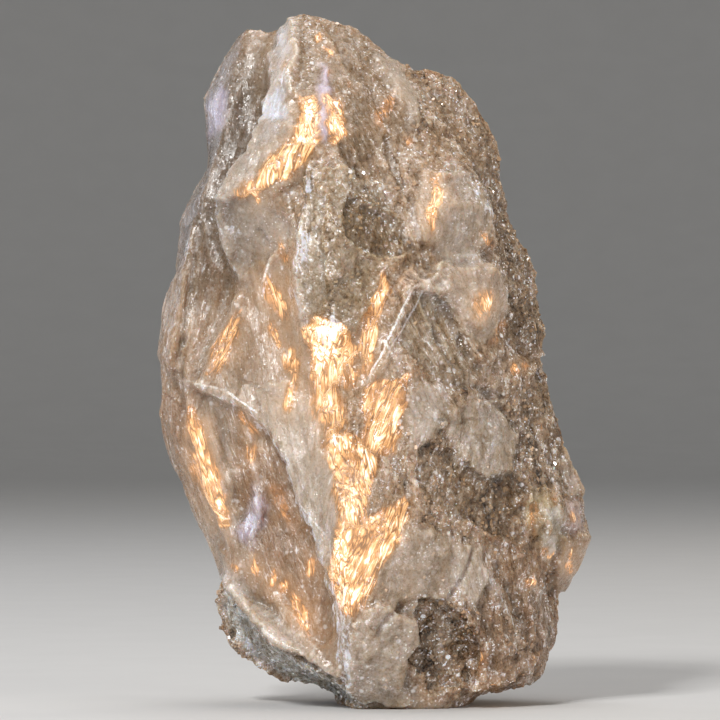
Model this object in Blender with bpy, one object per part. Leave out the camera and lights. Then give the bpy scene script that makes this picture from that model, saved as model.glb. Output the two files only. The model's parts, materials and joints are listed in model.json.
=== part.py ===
"""Sphalerite specimen: one rough upright lump of cleavable, partly granular zinc ore.

The lump is described by hand as a geologist would sketch it: the rim that divides the front
from the back, the ridges and valleys that run over each side, the steps where a cleavage
surface breaks down to a lower one, and single readings of depth in between. Each side is
triangulated through those lines, and the two sides are sewn together along the rim. Between
the ridges the surface is then worn, swollen into the lumps and folds of its own kind and
flattened onto small cleavage faces, and the foot is cut flat so that the lump stands.

All lists are in millimetres: x to the right, z up from the foot, and last how far the surface
stands out towards the front (negative towards the back). The working distances below are in
millimetres too; the finished lump is brought to its real height in metres.
"""

import math
import random

import bmesh
import bpy
from mathutils import Vector, noise
from mathutils.geometry import delaunay_2d_cdt
from mathutils.kdtree import KDTree

NAME = "sphalerite_mass"
HEIGHT = 0.1105             # metres, from the foot to the summit; everything follows from it
SEED = 11

RIM_ALLOWANCE = (1.012, 1.01)   # the rim starts this much wider and higher, for the wear
STEP_RUN = 0.7              # how far a step's foot lies beside its edge
SAME_POINT = 0.001          # points nearer than this are one
WORKING_MESH = 0.8          # mesh width while the surface is being worked
TRIANGLES = 7600            # kept in the finished solid
RIDGE_WIDTH = 0.7           # nothing within this distance of a ridge is worn
ROUNDING_PASSES = 4         # wear of everything but the ridges and steps
ROUNDING = 0.5              # how far each pass moves a point towards its neighbours
SWELL_HEIGHT = 0.9          # height of the slow swell that runs over everything
SWELL_LENGTH = 11.0         # and its length
LUMP_TOP = 1.8              # top of a lump, in lump heights above the face
TROUGH = -0.4               # bottom of the trough beside it
LUMP_FADE = 0.5             # share of a lumpy patch's radius over which it dies away
CLEAVAGE_SPACING = (4.0, 9.0)   # least and most between the middles of cleavage faces
CLEAVAGE_STRETCH = 1.7      # the faces are this much taller than wide
CLEAVAGE_TURN = 9.0         # a right angle between faces counts as this distance
CLEAVAGE_SHARE = 0.75       # how far the surface is flattened onto each face
CLEAVAGE_REACH = 2.5        # points further off the face than this stay where they are
CLEAVAGE_POINTS = 4         # a face has at least this many points
RIDGE_HOLD = 3.0            # and points nearer than this to a ridge are flattened less

BEIGE = (0.36, 0.27, 0.19, 1.0)
WAXY = 0.38                 # roughness

# ---------------------------------------------------------------- rim, clockwise from the summit
RIM = [
    (-12, 110.5, 1), (-9.5, 110, 2), (-5.5, 107.8, 2.5), (-1, 106.3, 2.5), (1.5, 104, 2.5),
    (6, 101.5, 2), (10.5, 101, 0.5), (13.5, 99.5, -0.5), (16.5, 95, -1.5), (19.5, 90.5, -2.5),
    (21.5, 87, -3), (21.5, 81, -3), (23, 77, -3), (23, 73.5, -3.5), (25, 69.5, -3.5),
    (26, 64.5, -3.5), (27.5, 56, -3), (28.5, 52.5, -3), (28, 50, -3), (30.5, 43, -2.5),
    (32.5, 37.5, -3), (34.5, 31.5, -4), (34.5, 25, -4), (33, 21, -4), (30, 18, -3.5),
    (30.5, 14.5, -3), (29.5, 9, -2), (28, 5.5, -1.5), (26, 3.5, -0.5), (22.5, 2, 0),
    (17, 1, 0), (14.5, -2.5, -1), (-5, -2.5, -1.5), (-6.5, 1, -2), (-9, 2, -3),
    (-11.5, 2.8, -4), (-17, 5, -5), (-20.5, 7, -5.5), (-22, 9, -6), (-23.5, 11.5, -6),
    (-25, 14, -6), (-25.5, 16, -5), (-24.5, 18.5, -3), (-24.5, 22, -1), (-26.5, 26.5, 0),
    (-28, 28.5, -0.5), (-30, 33, -1), (-33, 39, -1), (-34.5, 47.5, -1), (-33.5, 52, -1),
    (-34.5, 56, -2), (-34.5, 60, -2.5), (-32, 67.5, -3.5), (-31, 72, -4), (-31.5, 77, -5),
    (-28.6, 81.5, -6), (-26, 85.5, -7), (-26.5, 90.5, -8), (-27.5, 93.5, -8.5),
    (-26, 99, -8.5), (-23.5, 103.5, -8), (-20, 107.5, -7), (-14.5, 108, -4),
]

# ---------------------------------------------------------------- front
FRONT_RIDGES = {
    "summit": [(-12.5, 108.5, 4), (-13, 105.5, 7.5), (-13.5, 102, 11), (-12, 94.5, 15.5),
               (-10.5, 91.5, 18)],
    "shoulder": [(-24, 79.6, 15), (-18, 83, 17.5), (-14, 85.5, 19), (-10.5, 91.5, 18)],
    "lobe_crest": [(-19.8, 105.5, -2), (-23.3, 96, -0.5), (-25.5, 85.5, 1.5), (-28.2, 77, 3.5),
                   (-29.8, 67, 5), (-31, 56, 6.5)],
    "left_wall_crest": [(-29.5, 49, 7), (-28, 42, 9), (-25.5, 33.5, 8.5), (-22.5, 25, 8.5),
                        (-21.5, 21.5, 9.5)],
    "hollow_fold": [(-21, 46, 9), (-19, 38, 10), (-18, 28.5, 10), (-16, 24, 11)],
    "lip_groove": [(-22.5, 20.5, 8), (-18, 16.3, 8.5), (-15.8, 13.8, 10.5)],
    "lip_crest": [(-23.5, 19.4, 8.5), (-19.3, 14.6, 12), (-14.3, 9.8, 14), (-8, 6, 15),
                  (-2.5, 2.8, 15.5)],
    "dome_brow": [(-9.8, 61, 22), (-6, 59.7, 23.5), (-3, 55, 21.5)],
    "top_seam": [(-3, 94.5, 14), (1.3, 90, 14), (1.2, 85.5, 15.5), (4.5, 70.5, 18)],
    "white_ledge": [(6, 67, 21.5), (3, 59.5, 22.5), (-1, 50.5, 22.5)],
    "spine": [(-7, 44, 20), (-4, 31, 23.5), (-3.7, 18, 22.5), (-3.4, 7.5, 19.5)],
    "dome_divide": [(7.4, 71, 17), (11.4, 72.5, 15), (18.6, 71, 10)],
    "lower_dome_foot": [(9.5, 64.5, 18.5), (12.5, 60, 17), (20.3, 57.5, 11)],
    "vein": [(15.4, 27, 17), (15, 23.8, 17), (11.6, 17.5, 19)],
    "lower_edge": [(-3.5, 1, 13), (4, 0.8, 13.5), (12, 1.2, 13), (18.5, 2.6, 12.5),
                   (23, 4.3, 10.5), (27, 7.5, 7)],
}

# name: (side of the lower surface: 1 left of the direction of travel, -1 right,
#        [(x, z, depth of the edge, depth of its foot), ...])
FRONT_STEPS = {
    "front_over_lobe": (-1, [
        (-14.8, 106, 3, -2.5), (-16.8, 102, 6.5, -2), (-17.2, 94.5, 9.5, -1), (-18.5, 91, 11, -0.5),
        (-21, 85, 13, 1), (-25, 78.8, 14.5, 2.5), (-24.3, 75.5, 13.5, 3), (-22.8, 71, 11.5, 3.5),
        (-21, 67, 10.5, 5), (-24, 60.5, 9.5, 5.5), (-27.3, 54.2, 8.5, 7)]),
    "hollow_rim": (-1, [
        (-29.3, 51.4, 8, 7), (-25, 50, 10.5, 6.5), (-19.4, 47.2, 13.5, 7.5),
        (-15.3, 43, 15.5, 8.5), (-12, 36, 17.5, 9.5), (-8.9, 28.8, 19.5, 11),
        (-6.5, 23, 20, 13), (-5, 16.3, 19.5, 15), (-4.3, 9, 18, 16)]),
    "dome_edge": (-1, [
        (-10.2, 83.5, 20.5, 19.5), (-11.4, 76.6, 22, 18), (-12, 71, 21.5, 17),
        (-12.2, 66, 20, 16), (-11, 61.5, 20.5, 15), (-11.3, 52.5, 18, 16)]),
    "lip": (-1, [
        (-24, 18, 7, 0), (-20.5, 14, 11, 1), (-17.5, 10.6, 13, 2), (-11.6, 7, 14, 3),
        (-5, 3.2, 14, 5)]),
    "top_facet": (1, [(4.4, 100.8, 7, 5), (5.7, 98, 9, 6.5), (7, 94.5, 10, 8)]),
    "upper_dome": (1, [
        (14.8, 85.4, 11, 8.5), (18.2, 79.4, 11.5, 7), (18.8, 75.5, 10.5, 6.5),
        (19.8, 72.6, 9, 6)]),
    "arc_hollow": (-1, [
        (10.6, 15.7, 18, 17), (13.5, 14.5, 18, 14.5), (15.8, 10.2, 16, 12.5),
        (15.6, 7, 14.5, 12)]),
    "pale_facet": (1, [(4.6, 16, 21, 20), (7, 14.3, 20, 17), (7.2, 11, 19, 16), (5.4, 5, 16, 15)]),
    "crinkled_patch": (-1, [
        (-5.4, 44.6, 20.8, 20.3), (-1.8, 41, 22.3, 21.3), (3, 38, 22.8, 21.8),
        (5.4, 33.8, 22, 21.3)]),
}

FRONT_DEPTHS = {
    "summit": [(-8.5, 107, 5.5), (-6, 103.5, 9), (-9, 97.5, 14), (-4.5, 97.5, 13.5),
               (-2, 103, 8), (-7, 88.5, 19), (-3.5, 87, 18.5), (-15.5, 97.5, 11),
               (-14.5, 92, 15), (-17.5, 87, 15.5), (0, 98, 11), (3.5, 90, 13.5)],
    "lobe": [(-17, 106.5, -4), (-25, 96.5, -2), (-28.5, 83, -1), (-29.7, 76.5, 1),
             (-27, 66, 3.5), (-31.3, 64.5, 1.5), (-32.3, 58, 1.5), (-32.2, 53.8, 4)],
    "kite_facet": [(-20, 76.5, 14.5), (-15.8, 75.5, 16.5), (-13.8, 70.7, 16), (-17.8, 71.8, 13),
                   (-15, 80.5, 18.5)],
    "fan": [(-18, 62, 13), (-20, 56.5, 12), (-23, 53, 11), (-17, 48.7, 15), (-14.5, 64.5, 14.5),
            (-13, 48.5, 16), (-10, 38, 19)],
    "left_wall": [(-32, 46, 3), (-30.5, 39, 3), (-27.3, 30.2, 2.5), (-24, 23, 4.5)],
    "hollow": [(-25.5, 46.5, 7), (-22.5, 38.5, 7), (-20.4, 29.5, 7.5), (-17, 41.5, 8.5),
               (-13.5, 31.5, 9.7), (-10.8, 22.2, 12), (-8.5, 13.5, 14.5), (-13.4, 16.6, 12),
               (-15, 20.6, 11)],
    "ledge": [(-23, 12.5, 0), (-19, 8.2, 1), (-13.5, 5.5, 2), (-7, 3, 3)],
    "dome": [(-7, 80.5, 22.5), (-4.6, 75.8, 24), (-4.6, 70.5, 24.5), (-6, 65.8, 24),
             (-1.4, 79, 21), (0.2, 71, 20.5), (-2.2, 61.4, 21.5)],
    "centre": [(-8, 57, 19.5), (-6, 49.5, 19.5), (-8.9, 48.6, 18), (0.5, 62.5, 20.5),
               (-2, 53.4, 20.5), (1, 47, 21.5), (-0.2, 36, 22.5), (1.3, 25, 22.5),
               (1.4, 11, 21), (1.5, 4.5, 17.5)],
    "right_of_centre": [
        (5.8, 85.5, 15.5), (5, 78.5, 17.5), (8.2, 74.5, 18), (12.5, 79.5, 17.5), (15.8, 77.5, 14.5),
        (12.4, 83.5, 14), (8.2, 88.5, 12.5), (12.5, 66.7, 20.5), (16.5, 66.5, 18), (14.8, 62.7, 18),
        (19.8, 67, 12.5), (9, 61.5, 20.5), (11.8, 54.7, 20), (13.8, 50, 19), (17.4, 54.2, 15),
        (5.5, 54.5, 22)],
    "crust": [(10.6, 96.5, 4), (11.5, 91, 8), (18, 83.8, 4.5), (20.5, 73.5, 4),
              (23, 61.5, 4), (24.6, 48.6, 5), (28, 36, 4.5), (31, 29, 3.5), (28, 21, 5.5)],
    "lower_right": [
        (7.4, 44.6, 21), (12, 46.5, 18.5), (17, 48, 14.5), (9, 38.5, 20), (18.5, 42, 14.5),
        (10.5, 32.5, 19.5), (20, 34, 13), (9, 26, 21), (22, 25.5, 12), (8.2, 19.8, 21),
        (18, 18.5, 15), (25, 16.5, 8.5)],
    "foot": [(9.5, 10.5, 15), (11.5, 4.5, 13.5), (19.4, 8, 13.5), (25, 9, 9),
             (14, -0.6, 10.5), (9, -0.6, 12), (3, -0.6, 12.5), (-3.5, -0.6, 11.5)],
}

# ---------------------------------------------------------------- back
BACK_RIDGES = {
    "backbone": [(-9, 106, -5), (-4, 93, -14.5), (2, 78, -20.5), (6, 62, -26), (10, 40, -26.5),
                 (12, 24, -23)],
    "cleft": [(-15.5, 103, -8.5), (-14.5, 90, -9.5), (-17, 74, -12), (-21, 62, -12.5)],
    "lower_rib": [(6, 62, -26), (-8, 50, -21.5), (-20, 44, -17), (-30, 42, -8.5)],
    "right_rib": [(10, 40, -26.5), (22, 36, -18), (30, 31, -10)],
}

BACK_STEPS = {
    "upper_step": (-1, [(-7, 90, -12.5, -11.5), (-6, 76, -18, -14.5), (-7, 65, -20.5, -16),
                        (-11, 57, -19.5, -16.5)]),
    "right_step": (1, [(6, 88, -14, -13), (11, 78, -17.5, -14), (15, 66, -20.5, -16),
                       (18, 54, -20, -17.5)]),
    "foot_step": (1, [(24, 20, -14.5, -13), (12, 15.5, -22.5, -18.5), (0, 18, -21.5, -17),
                      (-12, 22, -16.5, -14)]),
}

BACK_DEPTHS = {
    "upper": [(-4, 104.5, -6), (4, 98, -8.5), (13, 91, -8), (17.5, 80, -10), (20.5, 66, -12),
              (24, 54, -12)],
    "left_facet": [(-12, 80, -11.5), (-12.5, 68, -14.5), (-16.5, 58, -15.5)],
    "lobe": [(-21, 103.5, -12), (-23.5, 92, -13.5), (-26, 79, -13.5), (-28.5, 66, -13),
             (-31, 54, -8.5)],
    "middle": [(3, 66, -25), (-1, 58, -24), (14, 46, -24), (23, 44, -16.5)],
    "lower": [(-29, 33, -8.5), (-23, 30, -13.5), (-12, 34, -19.5), (0, 34, -24), (21, 25, -18),
              (29, 20, -9.5), (25, 12, -10.5), (15, 9, -16.5), (4, 10, -17), (-8, 12, -13.5),
              (-19, 15, -11), (-14, 6, -8.5)],
    "foot": [(14, -0.6, -13), (9, -0.6, -14.5), (3, -0.6, -15), (-4.5, -0.6, -12.5),
             (-8.5, 4, -9.5), (22, 4.5, -8)],
}

# ---------------------------------------------------------------- lumps and folds
# (centre x, centre z, depth there, radius, height of the lumps, (width, length) of a lump)
LUMPS = [
    (24, 64, 4, 20, 1.5, (7.0, 7.0)),       # granular crust, right edge
    (28, 30, 4, 20, 1.6, (8.0, 8.0)),       # granular crust, lower right
    (14, 88, 6, 12, 1.2, (7.0, 7.0)),       # granular crust, above
    (-4, 72, 22, 13, 0.9, (6.0, 8.0)),      # granular dome
    (14, 58, 18, 13, 1.0, (5.0, 9.0)),      # striated facet
    (12, 8, 14, 12, 1.1, (6.0, 8.0)),       # dark hollow at the foot
    (-16, 8, 2, 12, 1.0, (5.0, 5.0)),       # grey ledge
    (2, 26, 22, 13, 0.9, (5.0, 9.0)),       # crinkled patch
    (-26, 92, -3, 16, 1.1, (5.0, 14.0)),    # fibrous lobe
    (-31, 62, 0, 16, 1.1, (5.0, 12.0)),     # fibrous lobe, below
    (-20, 34, 8, 14, 0.7, (5.0, 14.0)),     # hollow, drawn-out folds
    (22, 62, -14, 24, 1.3, (9.0, 9.0)),     # back, right
    (-24, 70, -12, 26, 1.1, (7.0, 14.0)),   # back of the lobe
    (4, 16, -18, 26, 1.4, (9.0, 8.0)),      # back, foot
]


def clear_scene():
    """Empty the scene."""
    for thing in list(bpy.data.objects):
        bpy.data.objects.remove(thing, do_unlink=True)


def step_lines(side, points):
    """Split a step into its edge and the line at its foot, a little to one side."""
    edge = [(x, z, high) for x, z, high, _ in points]
    foot = []
    for index, (x, z, _, low) in enumerate(points):
        before = points[max(index - 1, 0)]
        after = points[min(index + 1, len(points) - 1)]
        along = Vector((after[0] - before[0], after[1] - before[1])).normalized()
        aside = Vector((-along.y, along.x)) * side * STEP_RUN
        foot.append((x + aside.x, z + aside.y, low))
    return edge, foot


def triangulate(lines, loose):
    """Triangulate the inside of the rim through every line and loose point.

    The first line is the closed rim. Returns points as (x, z, depth) and triangles.
    """
    flat, depth, edges = [], [], []
    for index, line in enumerate(lines):
        first = len(flat)
        flat.extend(Vector(point[:2]) for point in line)
        depth.extend(point[2] for point in line)
        edges.extend((first + k, first + k + 1) for k in range(len(line) - 1))
        if index == 0:
            edges.append((len(line) - 1, 0))
    flat.extend(Vector(point[:2]) for point in loose)
    depth.extend(point[2] for point in loose)
    inside_only = 1
    coords, _, faces, origins, _, _ = delaunay_2d_cdt(flat, edges, [], inside_only, SAME_POINT)
    points = []
    for coord, origin in zip(coords, origins):
        # where two lines cross there is no point of their own: take the nearest one's depth
        near = origin or [min(range(len(flat)), key=lambda index: (flat[index] - coord).length)]
        out = sum(depth[index] for index in near) / len(near)
        points.append((coord.x, coord.y, out))
    return points, [tuple(face) for face in faces]


def sketch_side(ridges, steps, depths):
    """Return one side as a rough mesh through all its hand-placed lines and depths."""
    wider, higher = RIM_ALLOWANCE
    lines = [[(x * wider, z * higher, out) for x, z, out in RIM]]
    lines.extend(ridges.values())
    for side, points in steps.values():
        lines.extend(step_lines(side, points))
    return triangulate(lines, [point for group in depths.values() for point in group])


def sew_sides(front, back):
    """Join both sides along the rim into one closed mesh."""
    mesh = bmesh.new()
    for (points, faces), turned in ((front, False), (back, True)):
        verts = [mesh.verts.new((x, -out, z)) for x, z, out in points]
        for face in faces:
            mesh.faces.new([verts[index] for index in (reversed(face) if turned else face)])
    rim = [vert for vert in mesh.verts if vert.is_boundary]
    bmesh.ops.remove_doubles(mesh, verts=rim, dist=SAME_POINT)
    return mesh


def through_modifier(mesh, kind, **settings):
    """Run the mesh through one modifier and return the result."""
    data = bpy.data.meshes.new("working")
    mesh.to_mesh(data)
    mesh.free()
    holder = bpy.data.objects.new("working", data)
    bpy.context.scene.collection.objects.link(holder)
    modifier = holder.modifiers.new("step", kind)
    for key, value in settings.items():
        setattr(modifier, key, value)
    result = bmesh.new()
    result.from_object(holder, bpy.context.evaluated_depsgraph_get())
    bpy.data.objects.remove(holder, do_unlink=True)
    bpy.data.meshes.remove(data)
    return result


def ridge_tree():
    """Return a search tree of points along every ridge and step edge."""
    lines = []
    for ridges, steps in ((FRONT_RIDGES, FRONT_STEPS), (BACK_RIDGES, BACK_STEPS)):
        lines.extend(ridges.values())
        lines.extend(step_lines(side, points)[0] for side, points in steps.values())
    spots = []
    for line in lines:
        for start, end in zip(line, line[1:]):
            pieces = max(1, round(math.hypot(end[0] - start[0], end[1] - start[1]) / WORKING_MESH))
            for index in range(pieces + 1):
                share = index / pieces
                x, z, out = (a + (b - a) * share for a, b in zip(start, end))
                spots.append((x, -out, z))
    tree = KDTree(len(spots))
    for index, spot in enumerate(spots):
        tree.insert(spot, index)
    tree.balance()
    return tree


def wear(mesh, ridges):
    """Round off everything but the ridges and step edges."""
    worn = [vert for vert in mesh.verts if ridges.find(vert.co)[2] > RIDGE_WIDTH]
    for _ in range(ROUNDING_PASSES):
        bmesh.ops.smooth_vert(
            mesh, verts=worn, factor=ROUNDING, use_axis_x=True, use_axis_y=True, use_axis_z=True)


def cleave(mesh, ridges, draw):
    """Flatten the surface between the ridges onto small cleavage faces."""
    mesh.normal_update()
    squash = Vector((1.0, 1.0, 1.0 / CLEAVAGE_STRETCH))
    centres = []
    for vert in draw.sample(mesh.verts[:], len(mesh.verts)):
        spacing = draw.uniform(*CLEAVAGE_SPACING)
        here = vert.co * squash
        if all((here - spot).length > spacing for spot, _ in centres):
            centres.append((here, vert.normal.copy()))
    members = [[] for _ in centres]
    for vert in mesh.verts:
        here = vert.co * squash
        apart = [(here - spot).length + CLEAVAGE_TURN * (1.0 - vert.normal.dot(normal))
                 for spot, normal in centres]
        members[apart.index(min(apart))].append(vert)
    for group in members:
        if len(group) < CLEAVAGE_POINTS:
            continue
        middle = sum((vert.co for vert in group), Vector()) / len(group)
        normal = sum((vert.normal for vert in group), Vector()).normalized()
        for vert in group:
            off = (vert.co - middle).dot(normal)
            if abs(off) < CLEAVAGE_REACH:
                free = min(1.0, ridges.find(vert.co)[2] / RIDGE_HOLD)
                vert.co -= normal * off * CLEAVAGE_SHARE * free


def relief(spot):
    """Height of the lumps and folds at a point: round tops, sharp troughs between them."""
    height = SWELL_HEIGHT * noise.noise(spot / SWELL_LENGTH)
    for x, z, out, radius, swell, (width, length) in LUMPS:
        away = (spot - Vector((x, -out, z))).length / radius
        if away < 1.0:
            fade = min(1.0, (1.0 - away) / LUMP_FADE)
            lump = abs(noise.noise(Vector((spot.x / width, spot.y / width, spot.z / length))))
            height += swell * fade * (TROUGH + (LUMP_TOP - TROUGH) * lump)
    return height


def add_relief(mesh):
    """Swell the surface into lumps and folds."""
    mesh.normal_update()
    moves = [(vert, vert.normal * relief(vert.co)) for vert in mesh.verts]
    for vert, move in moves:
        vert.co += move


def cut_foot(mesh):
    """Cut the lump flat where it stands and close the cut with one flat face."""
    everything = mesh.verts[:] + mesh.edges[:] + mesh.faces[:]
    cut = bmesh.ops.bisect_plane(
        mesh, geom=everything, dist=SAME_POINT, plane_co=(0, 0, 0), plane_no=(0, 0, -1),
        clear_outer=True)
    border = [item for item in cut["geom_cut"] if isinstance(item, bmesh.types.BMEdge)]
    bmesh.ops.contextual_create(mesh, geom=border)
    bmesh.ops.triangulate(mesh, faces=[face for face in mesh.faces if len(face.verts) > 3])
    bmesh.ops.recalc_face_normals(mesh, faces=mesh.faces)


def set_size_and_origin(mesh):
    """Bring the lump to its real height, the origin under the middle of its box."""
    low = [min(vert.co[axis] for vert in mesh.verts) for axis in range(3)]
    high = [max(vert.co[axis] for vert in mesh.verts) for axis in range(3)]
    middle = Vector((low[0] + high[0], low[1] + high[1], 2.0 * low[2])) / 2.0
    bmesh.ops.translate(mesh, vec=-middle, verts=mesh.verts)
    scale = HEIGHT / (high[2] - low[2])
    bmesh.ops.scale(mesh, vec=(scale, scale, scale), verts=mesh.verts)


def stone_material():
    """Beige, waxy to resinous stone."""
    material = bpy.data.materials.new("sphalerite")
    material.use_nodes = True
    shader = material.node_tree.nodes["Principled BSDF"]
    shader.inputs["Base Color"].default_value = BEIGE
    shader.inputs["Roughness"].default_value = WAXY
    shader.inputs["Metallic"].default_value = 0.0
    material.diffuse_color = BEIGE
    return material


def model_lump():
    """Return the finished lump's mesh."""
    draw = random.Random(SEED)
    ridges = ridge_tree()
    front = sketch_side(FRONT_RIDGES, FRONT_STEPS, FRONT_DEPTHS)
    back = sketch_side(BACK_RIDGES, BACK_STEPS, BACK_DEPTHS)
    mesh = sew_sides(front, back)
    mesh = through_modifier(mesh, "REMESH", mode="VOXEL", voxel_size=WORKING_MESH)
    wear(mesh, ridges)
    add_relief(mesh)
    mesh = through_modifier(mesh, "REMESH", mode="VOXEL", voxel_size=WORKING_MESH)
    cleave(mesh, ridges, draw)
    bmesh.ops.triangulate(mesh, faces=mesh.faces)
    mesh = through_modifier(mesh, "DECIMATE", ratio=TRIANGLES / len(mesh.faces))
    cut_foot(mesh)
    set_size_and_origin(mesh)
    return mesh


def main():
    """Build the specimen."""
    clear_scene()
    mesh = model_lump()
    data = bpy.data.meshes.new(NAME)
    mesh.to_mesh(data)
    mesh.free()
    data.materials.append(stone_material())
    lump = bpy.data.objects.new(NAME, data)
    bpy.context.scene.collection.objects.link(lump)


main()
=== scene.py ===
import json
import math
import random

import bpy
import numpy as np
from mathutils import Euler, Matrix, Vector, noise

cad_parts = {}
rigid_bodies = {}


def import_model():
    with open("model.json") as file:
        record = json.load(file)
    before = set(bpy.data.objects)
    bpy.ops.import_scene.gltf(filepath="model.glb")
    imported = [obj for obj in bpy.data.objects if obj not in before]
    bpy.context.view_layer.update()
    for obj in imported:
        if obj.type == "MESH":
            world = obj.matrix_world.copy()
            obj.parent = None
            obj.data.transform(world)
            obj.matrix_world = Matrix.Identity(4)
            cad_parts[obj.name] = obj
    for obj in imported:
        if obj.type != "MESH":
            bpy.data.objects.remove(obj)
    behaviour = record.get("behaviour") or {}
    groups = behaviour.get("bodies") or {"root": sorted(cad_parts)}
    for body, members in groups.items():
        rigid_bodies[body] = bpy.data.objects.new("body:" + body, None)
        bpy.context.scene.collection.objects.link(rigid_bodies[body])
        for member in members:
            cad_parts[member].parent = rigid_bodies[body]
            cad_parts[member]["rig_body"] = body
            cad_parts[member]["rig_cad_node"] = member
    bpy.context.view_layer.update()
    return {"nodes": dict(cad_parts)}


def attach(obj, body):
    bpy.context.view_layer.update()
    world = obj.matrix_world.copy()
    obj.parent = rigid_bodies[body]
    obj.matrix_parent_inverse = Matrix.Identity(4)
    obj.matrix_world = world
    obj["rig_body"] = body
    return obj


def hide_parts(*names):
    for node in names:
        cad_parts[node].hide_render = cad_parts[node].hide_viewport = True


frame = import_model()

bl_info = {
    "name": "Sphalerite Specimen",
    "version": (1, 0, 0),
    "blender": (4, 5, 0),
    "location": "View3D > Sidebar > Specimen",
    "description": "Dresses a rough lump of translucent sphalerite with cleavage flashes",
    "category": "Object",
}

MM = 0.001
NODE = "sphalerite_mass"

# Every list of patches below is in millimetres on the side of the lump that it names:
# x to the right, z up from the foot, then length, width and lean of the patch. Lean is in
# degrees from upright, positive where the top leans to the right.

# ---- flashes of the inner cleavage: painted reflections that glow as emission, with no lamp behind them
# x, z, length, width, lean, heat (0 orange, 1 white), strength
FRONT_FLASHES = [
    (-18.5, 80.5, 2.5, 1, -10, 0.95, 1.0),
    (-4.5, 34, 10, 2.5, 5, 0.95, 0.6),
    (-2.5, 24, 11, 2.5, 12, 0.95, 0.6),
    (-28, 43.5, 2.5, 1.5, -17, 1.0, 1.5),
    (-27.5, 40, 2.5, 1.8, -17, 1.0, 1.6),
    (-26, 36.5, 3, 1.5, -17, 1.0, 1.5),
    (-24.5, 32.5, 2, 1.2, -17, 1.0, 1.3),
    (-8.5, 106, 1.5, 1, 0, 0.4, 0.8),  # below the summit
    (-7, 104, 2, 1.3, -40, 0.4, 0.8),
    (-7, 100.5, 2, 0.8, 10, 0.35, 0.7),
    (-3.5, 98, 2, 0.8, -10, 0.35, 0.6),
    (-14.5, 102, 3, 1.5, 0, 0.3, 0.45),
    (2, 94.5, 6.5, 2.5, 15, 0.45, 0.6),  # right of the summit
    (5.5, 90, 1.5, 1.5, 0, 0.5, 0.7),
    (9.5, 80, 9.5, 2, 10, 0.7, 1.0),  # upper right dome
    (10, 82.5, 2.5, 1.3, 10, 1, 1.2),
    (8.8, 76.5, 2, 1.1, 5, 1, 1.2),
    (17, 64, 5.5, 3.75, 20, 0.2, 0.6),  # lower right dome
    (17.5, 64, 2.5, 2, -30, 1.0, 1.1),
    (18, 74, 4, 1.5, -20, 0.3, 0.6),  # crust
    (20, 59.5, 5, 1.5, 30, 0.3, 0.5),
    (22.5, 53.5, 2, 1.25, 10, 0.4, 0.8),
    (24.5, 54, 2, 1, 15, 0.4, 0.8),
    (27.5, 44, 1.5, 0.75, 0, 0.4, 0.6),
    (-23.5, 59, 11, 2, 28, 0.45, 0.75),  # left fan
    (-23, 57, 8.5, 1.5, 32, 0.35, 0.8),
    (-15.5, 64.5, 8, 2.25, -20, 0.5, 1.0),
    (-15.5, 58.5, 4, 1.5, -28, 0.45, 0.9),
    (-14.5, 71.5, 3.5, 1.25, -25, 0.35, 0.7),
    (-13, 54.5, 5, 2, 3, 0.15, 0.9),
    (-13, 49.5, 6, 2, 6, 1.0, 1.2),
    (-7.5, 49.5, 9, 4.75, -3, 0.7, 1.0),
    (-4, 54, 6.5, 2.5, -5, 0.9, 1.2),
    (1, 65, 8, 2, 14, 0.6, 1.0),  # beside the straight ledge
    (-1, 57.5, 10.5, 2.25, 10, 0.65, 1.0),
    (-6, 44, 9.5, 2, 10, 0.5, 0.8),
    (-25.5, 31.5, 6, 1.5, -35, 0.6, 0.9),
    (-19.5, 40, 3.5, 2.25, 0, 0.2, 0.8),  # inside the hollow
    (-20, 45, 4.5, 1.5, -38, 0.6, 0.9),
    (-14.5, 32.5, 9, 2.5, -20, 0.25, 0.5),
    (-16, 34, 5, 0.75, -15, 0.25, 0.5),
    (-10, 22.5, 3, 2, 0, 0.2, 0.8),
    (-6, 23.5, 5, 1.5, 5, 0.3, 0.7),
    (-11.5, 15, 7, 2, -22, 0.85, 1.2),  # above the lip
    (-19, 22, 3, 1, -15, 0.5, 1.0),
    (-16, 20.5, 3, 1, -10, 0.5, 1.0),
    (-14, 19.5, 2, 1.5, 0, 0.5, 1.0),
    (-22, 22, 1.5, 0.75, 0, 0.4, 0.8),
    (28, 24, 1, 0.75, 0, 0.5, 0.9),  # right rim and foot
    (31.5, 30, 2, 1, -10, 0.4, 0.8),
    (31.5, 24.5, 2.5, 0.8, 10, 0.4, 0.8),
    (31, 22.5, 1.5, 1, 0, 0.5, 0.8),
    (25.5, 29.5, 3.5, 0.9, 10, 0.4, 0.7),
    (24.5, 20, 2.5, 1, 15, 0.5, 0.8),
    (16.5, 8, 2, 1, -30, 0.3, 0.8),
    (18.5, 3, 2, 0.75, 70, 0.5, 0.8),
    (26.5, 31, 3, 1.2, -25, 0.5, 0.5),
    (28, 28, 2.5, 1, 20, 0.4, 0.5),
    (27, 25, 2, 1.2, -10, 0.55, 0.6),
    (29, 32.5, 2, 0.9, 10, 0.35, 0.5),
    (25.5, 28, 2, 0.8, 0, 0.4, 0.4),
]

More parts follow.
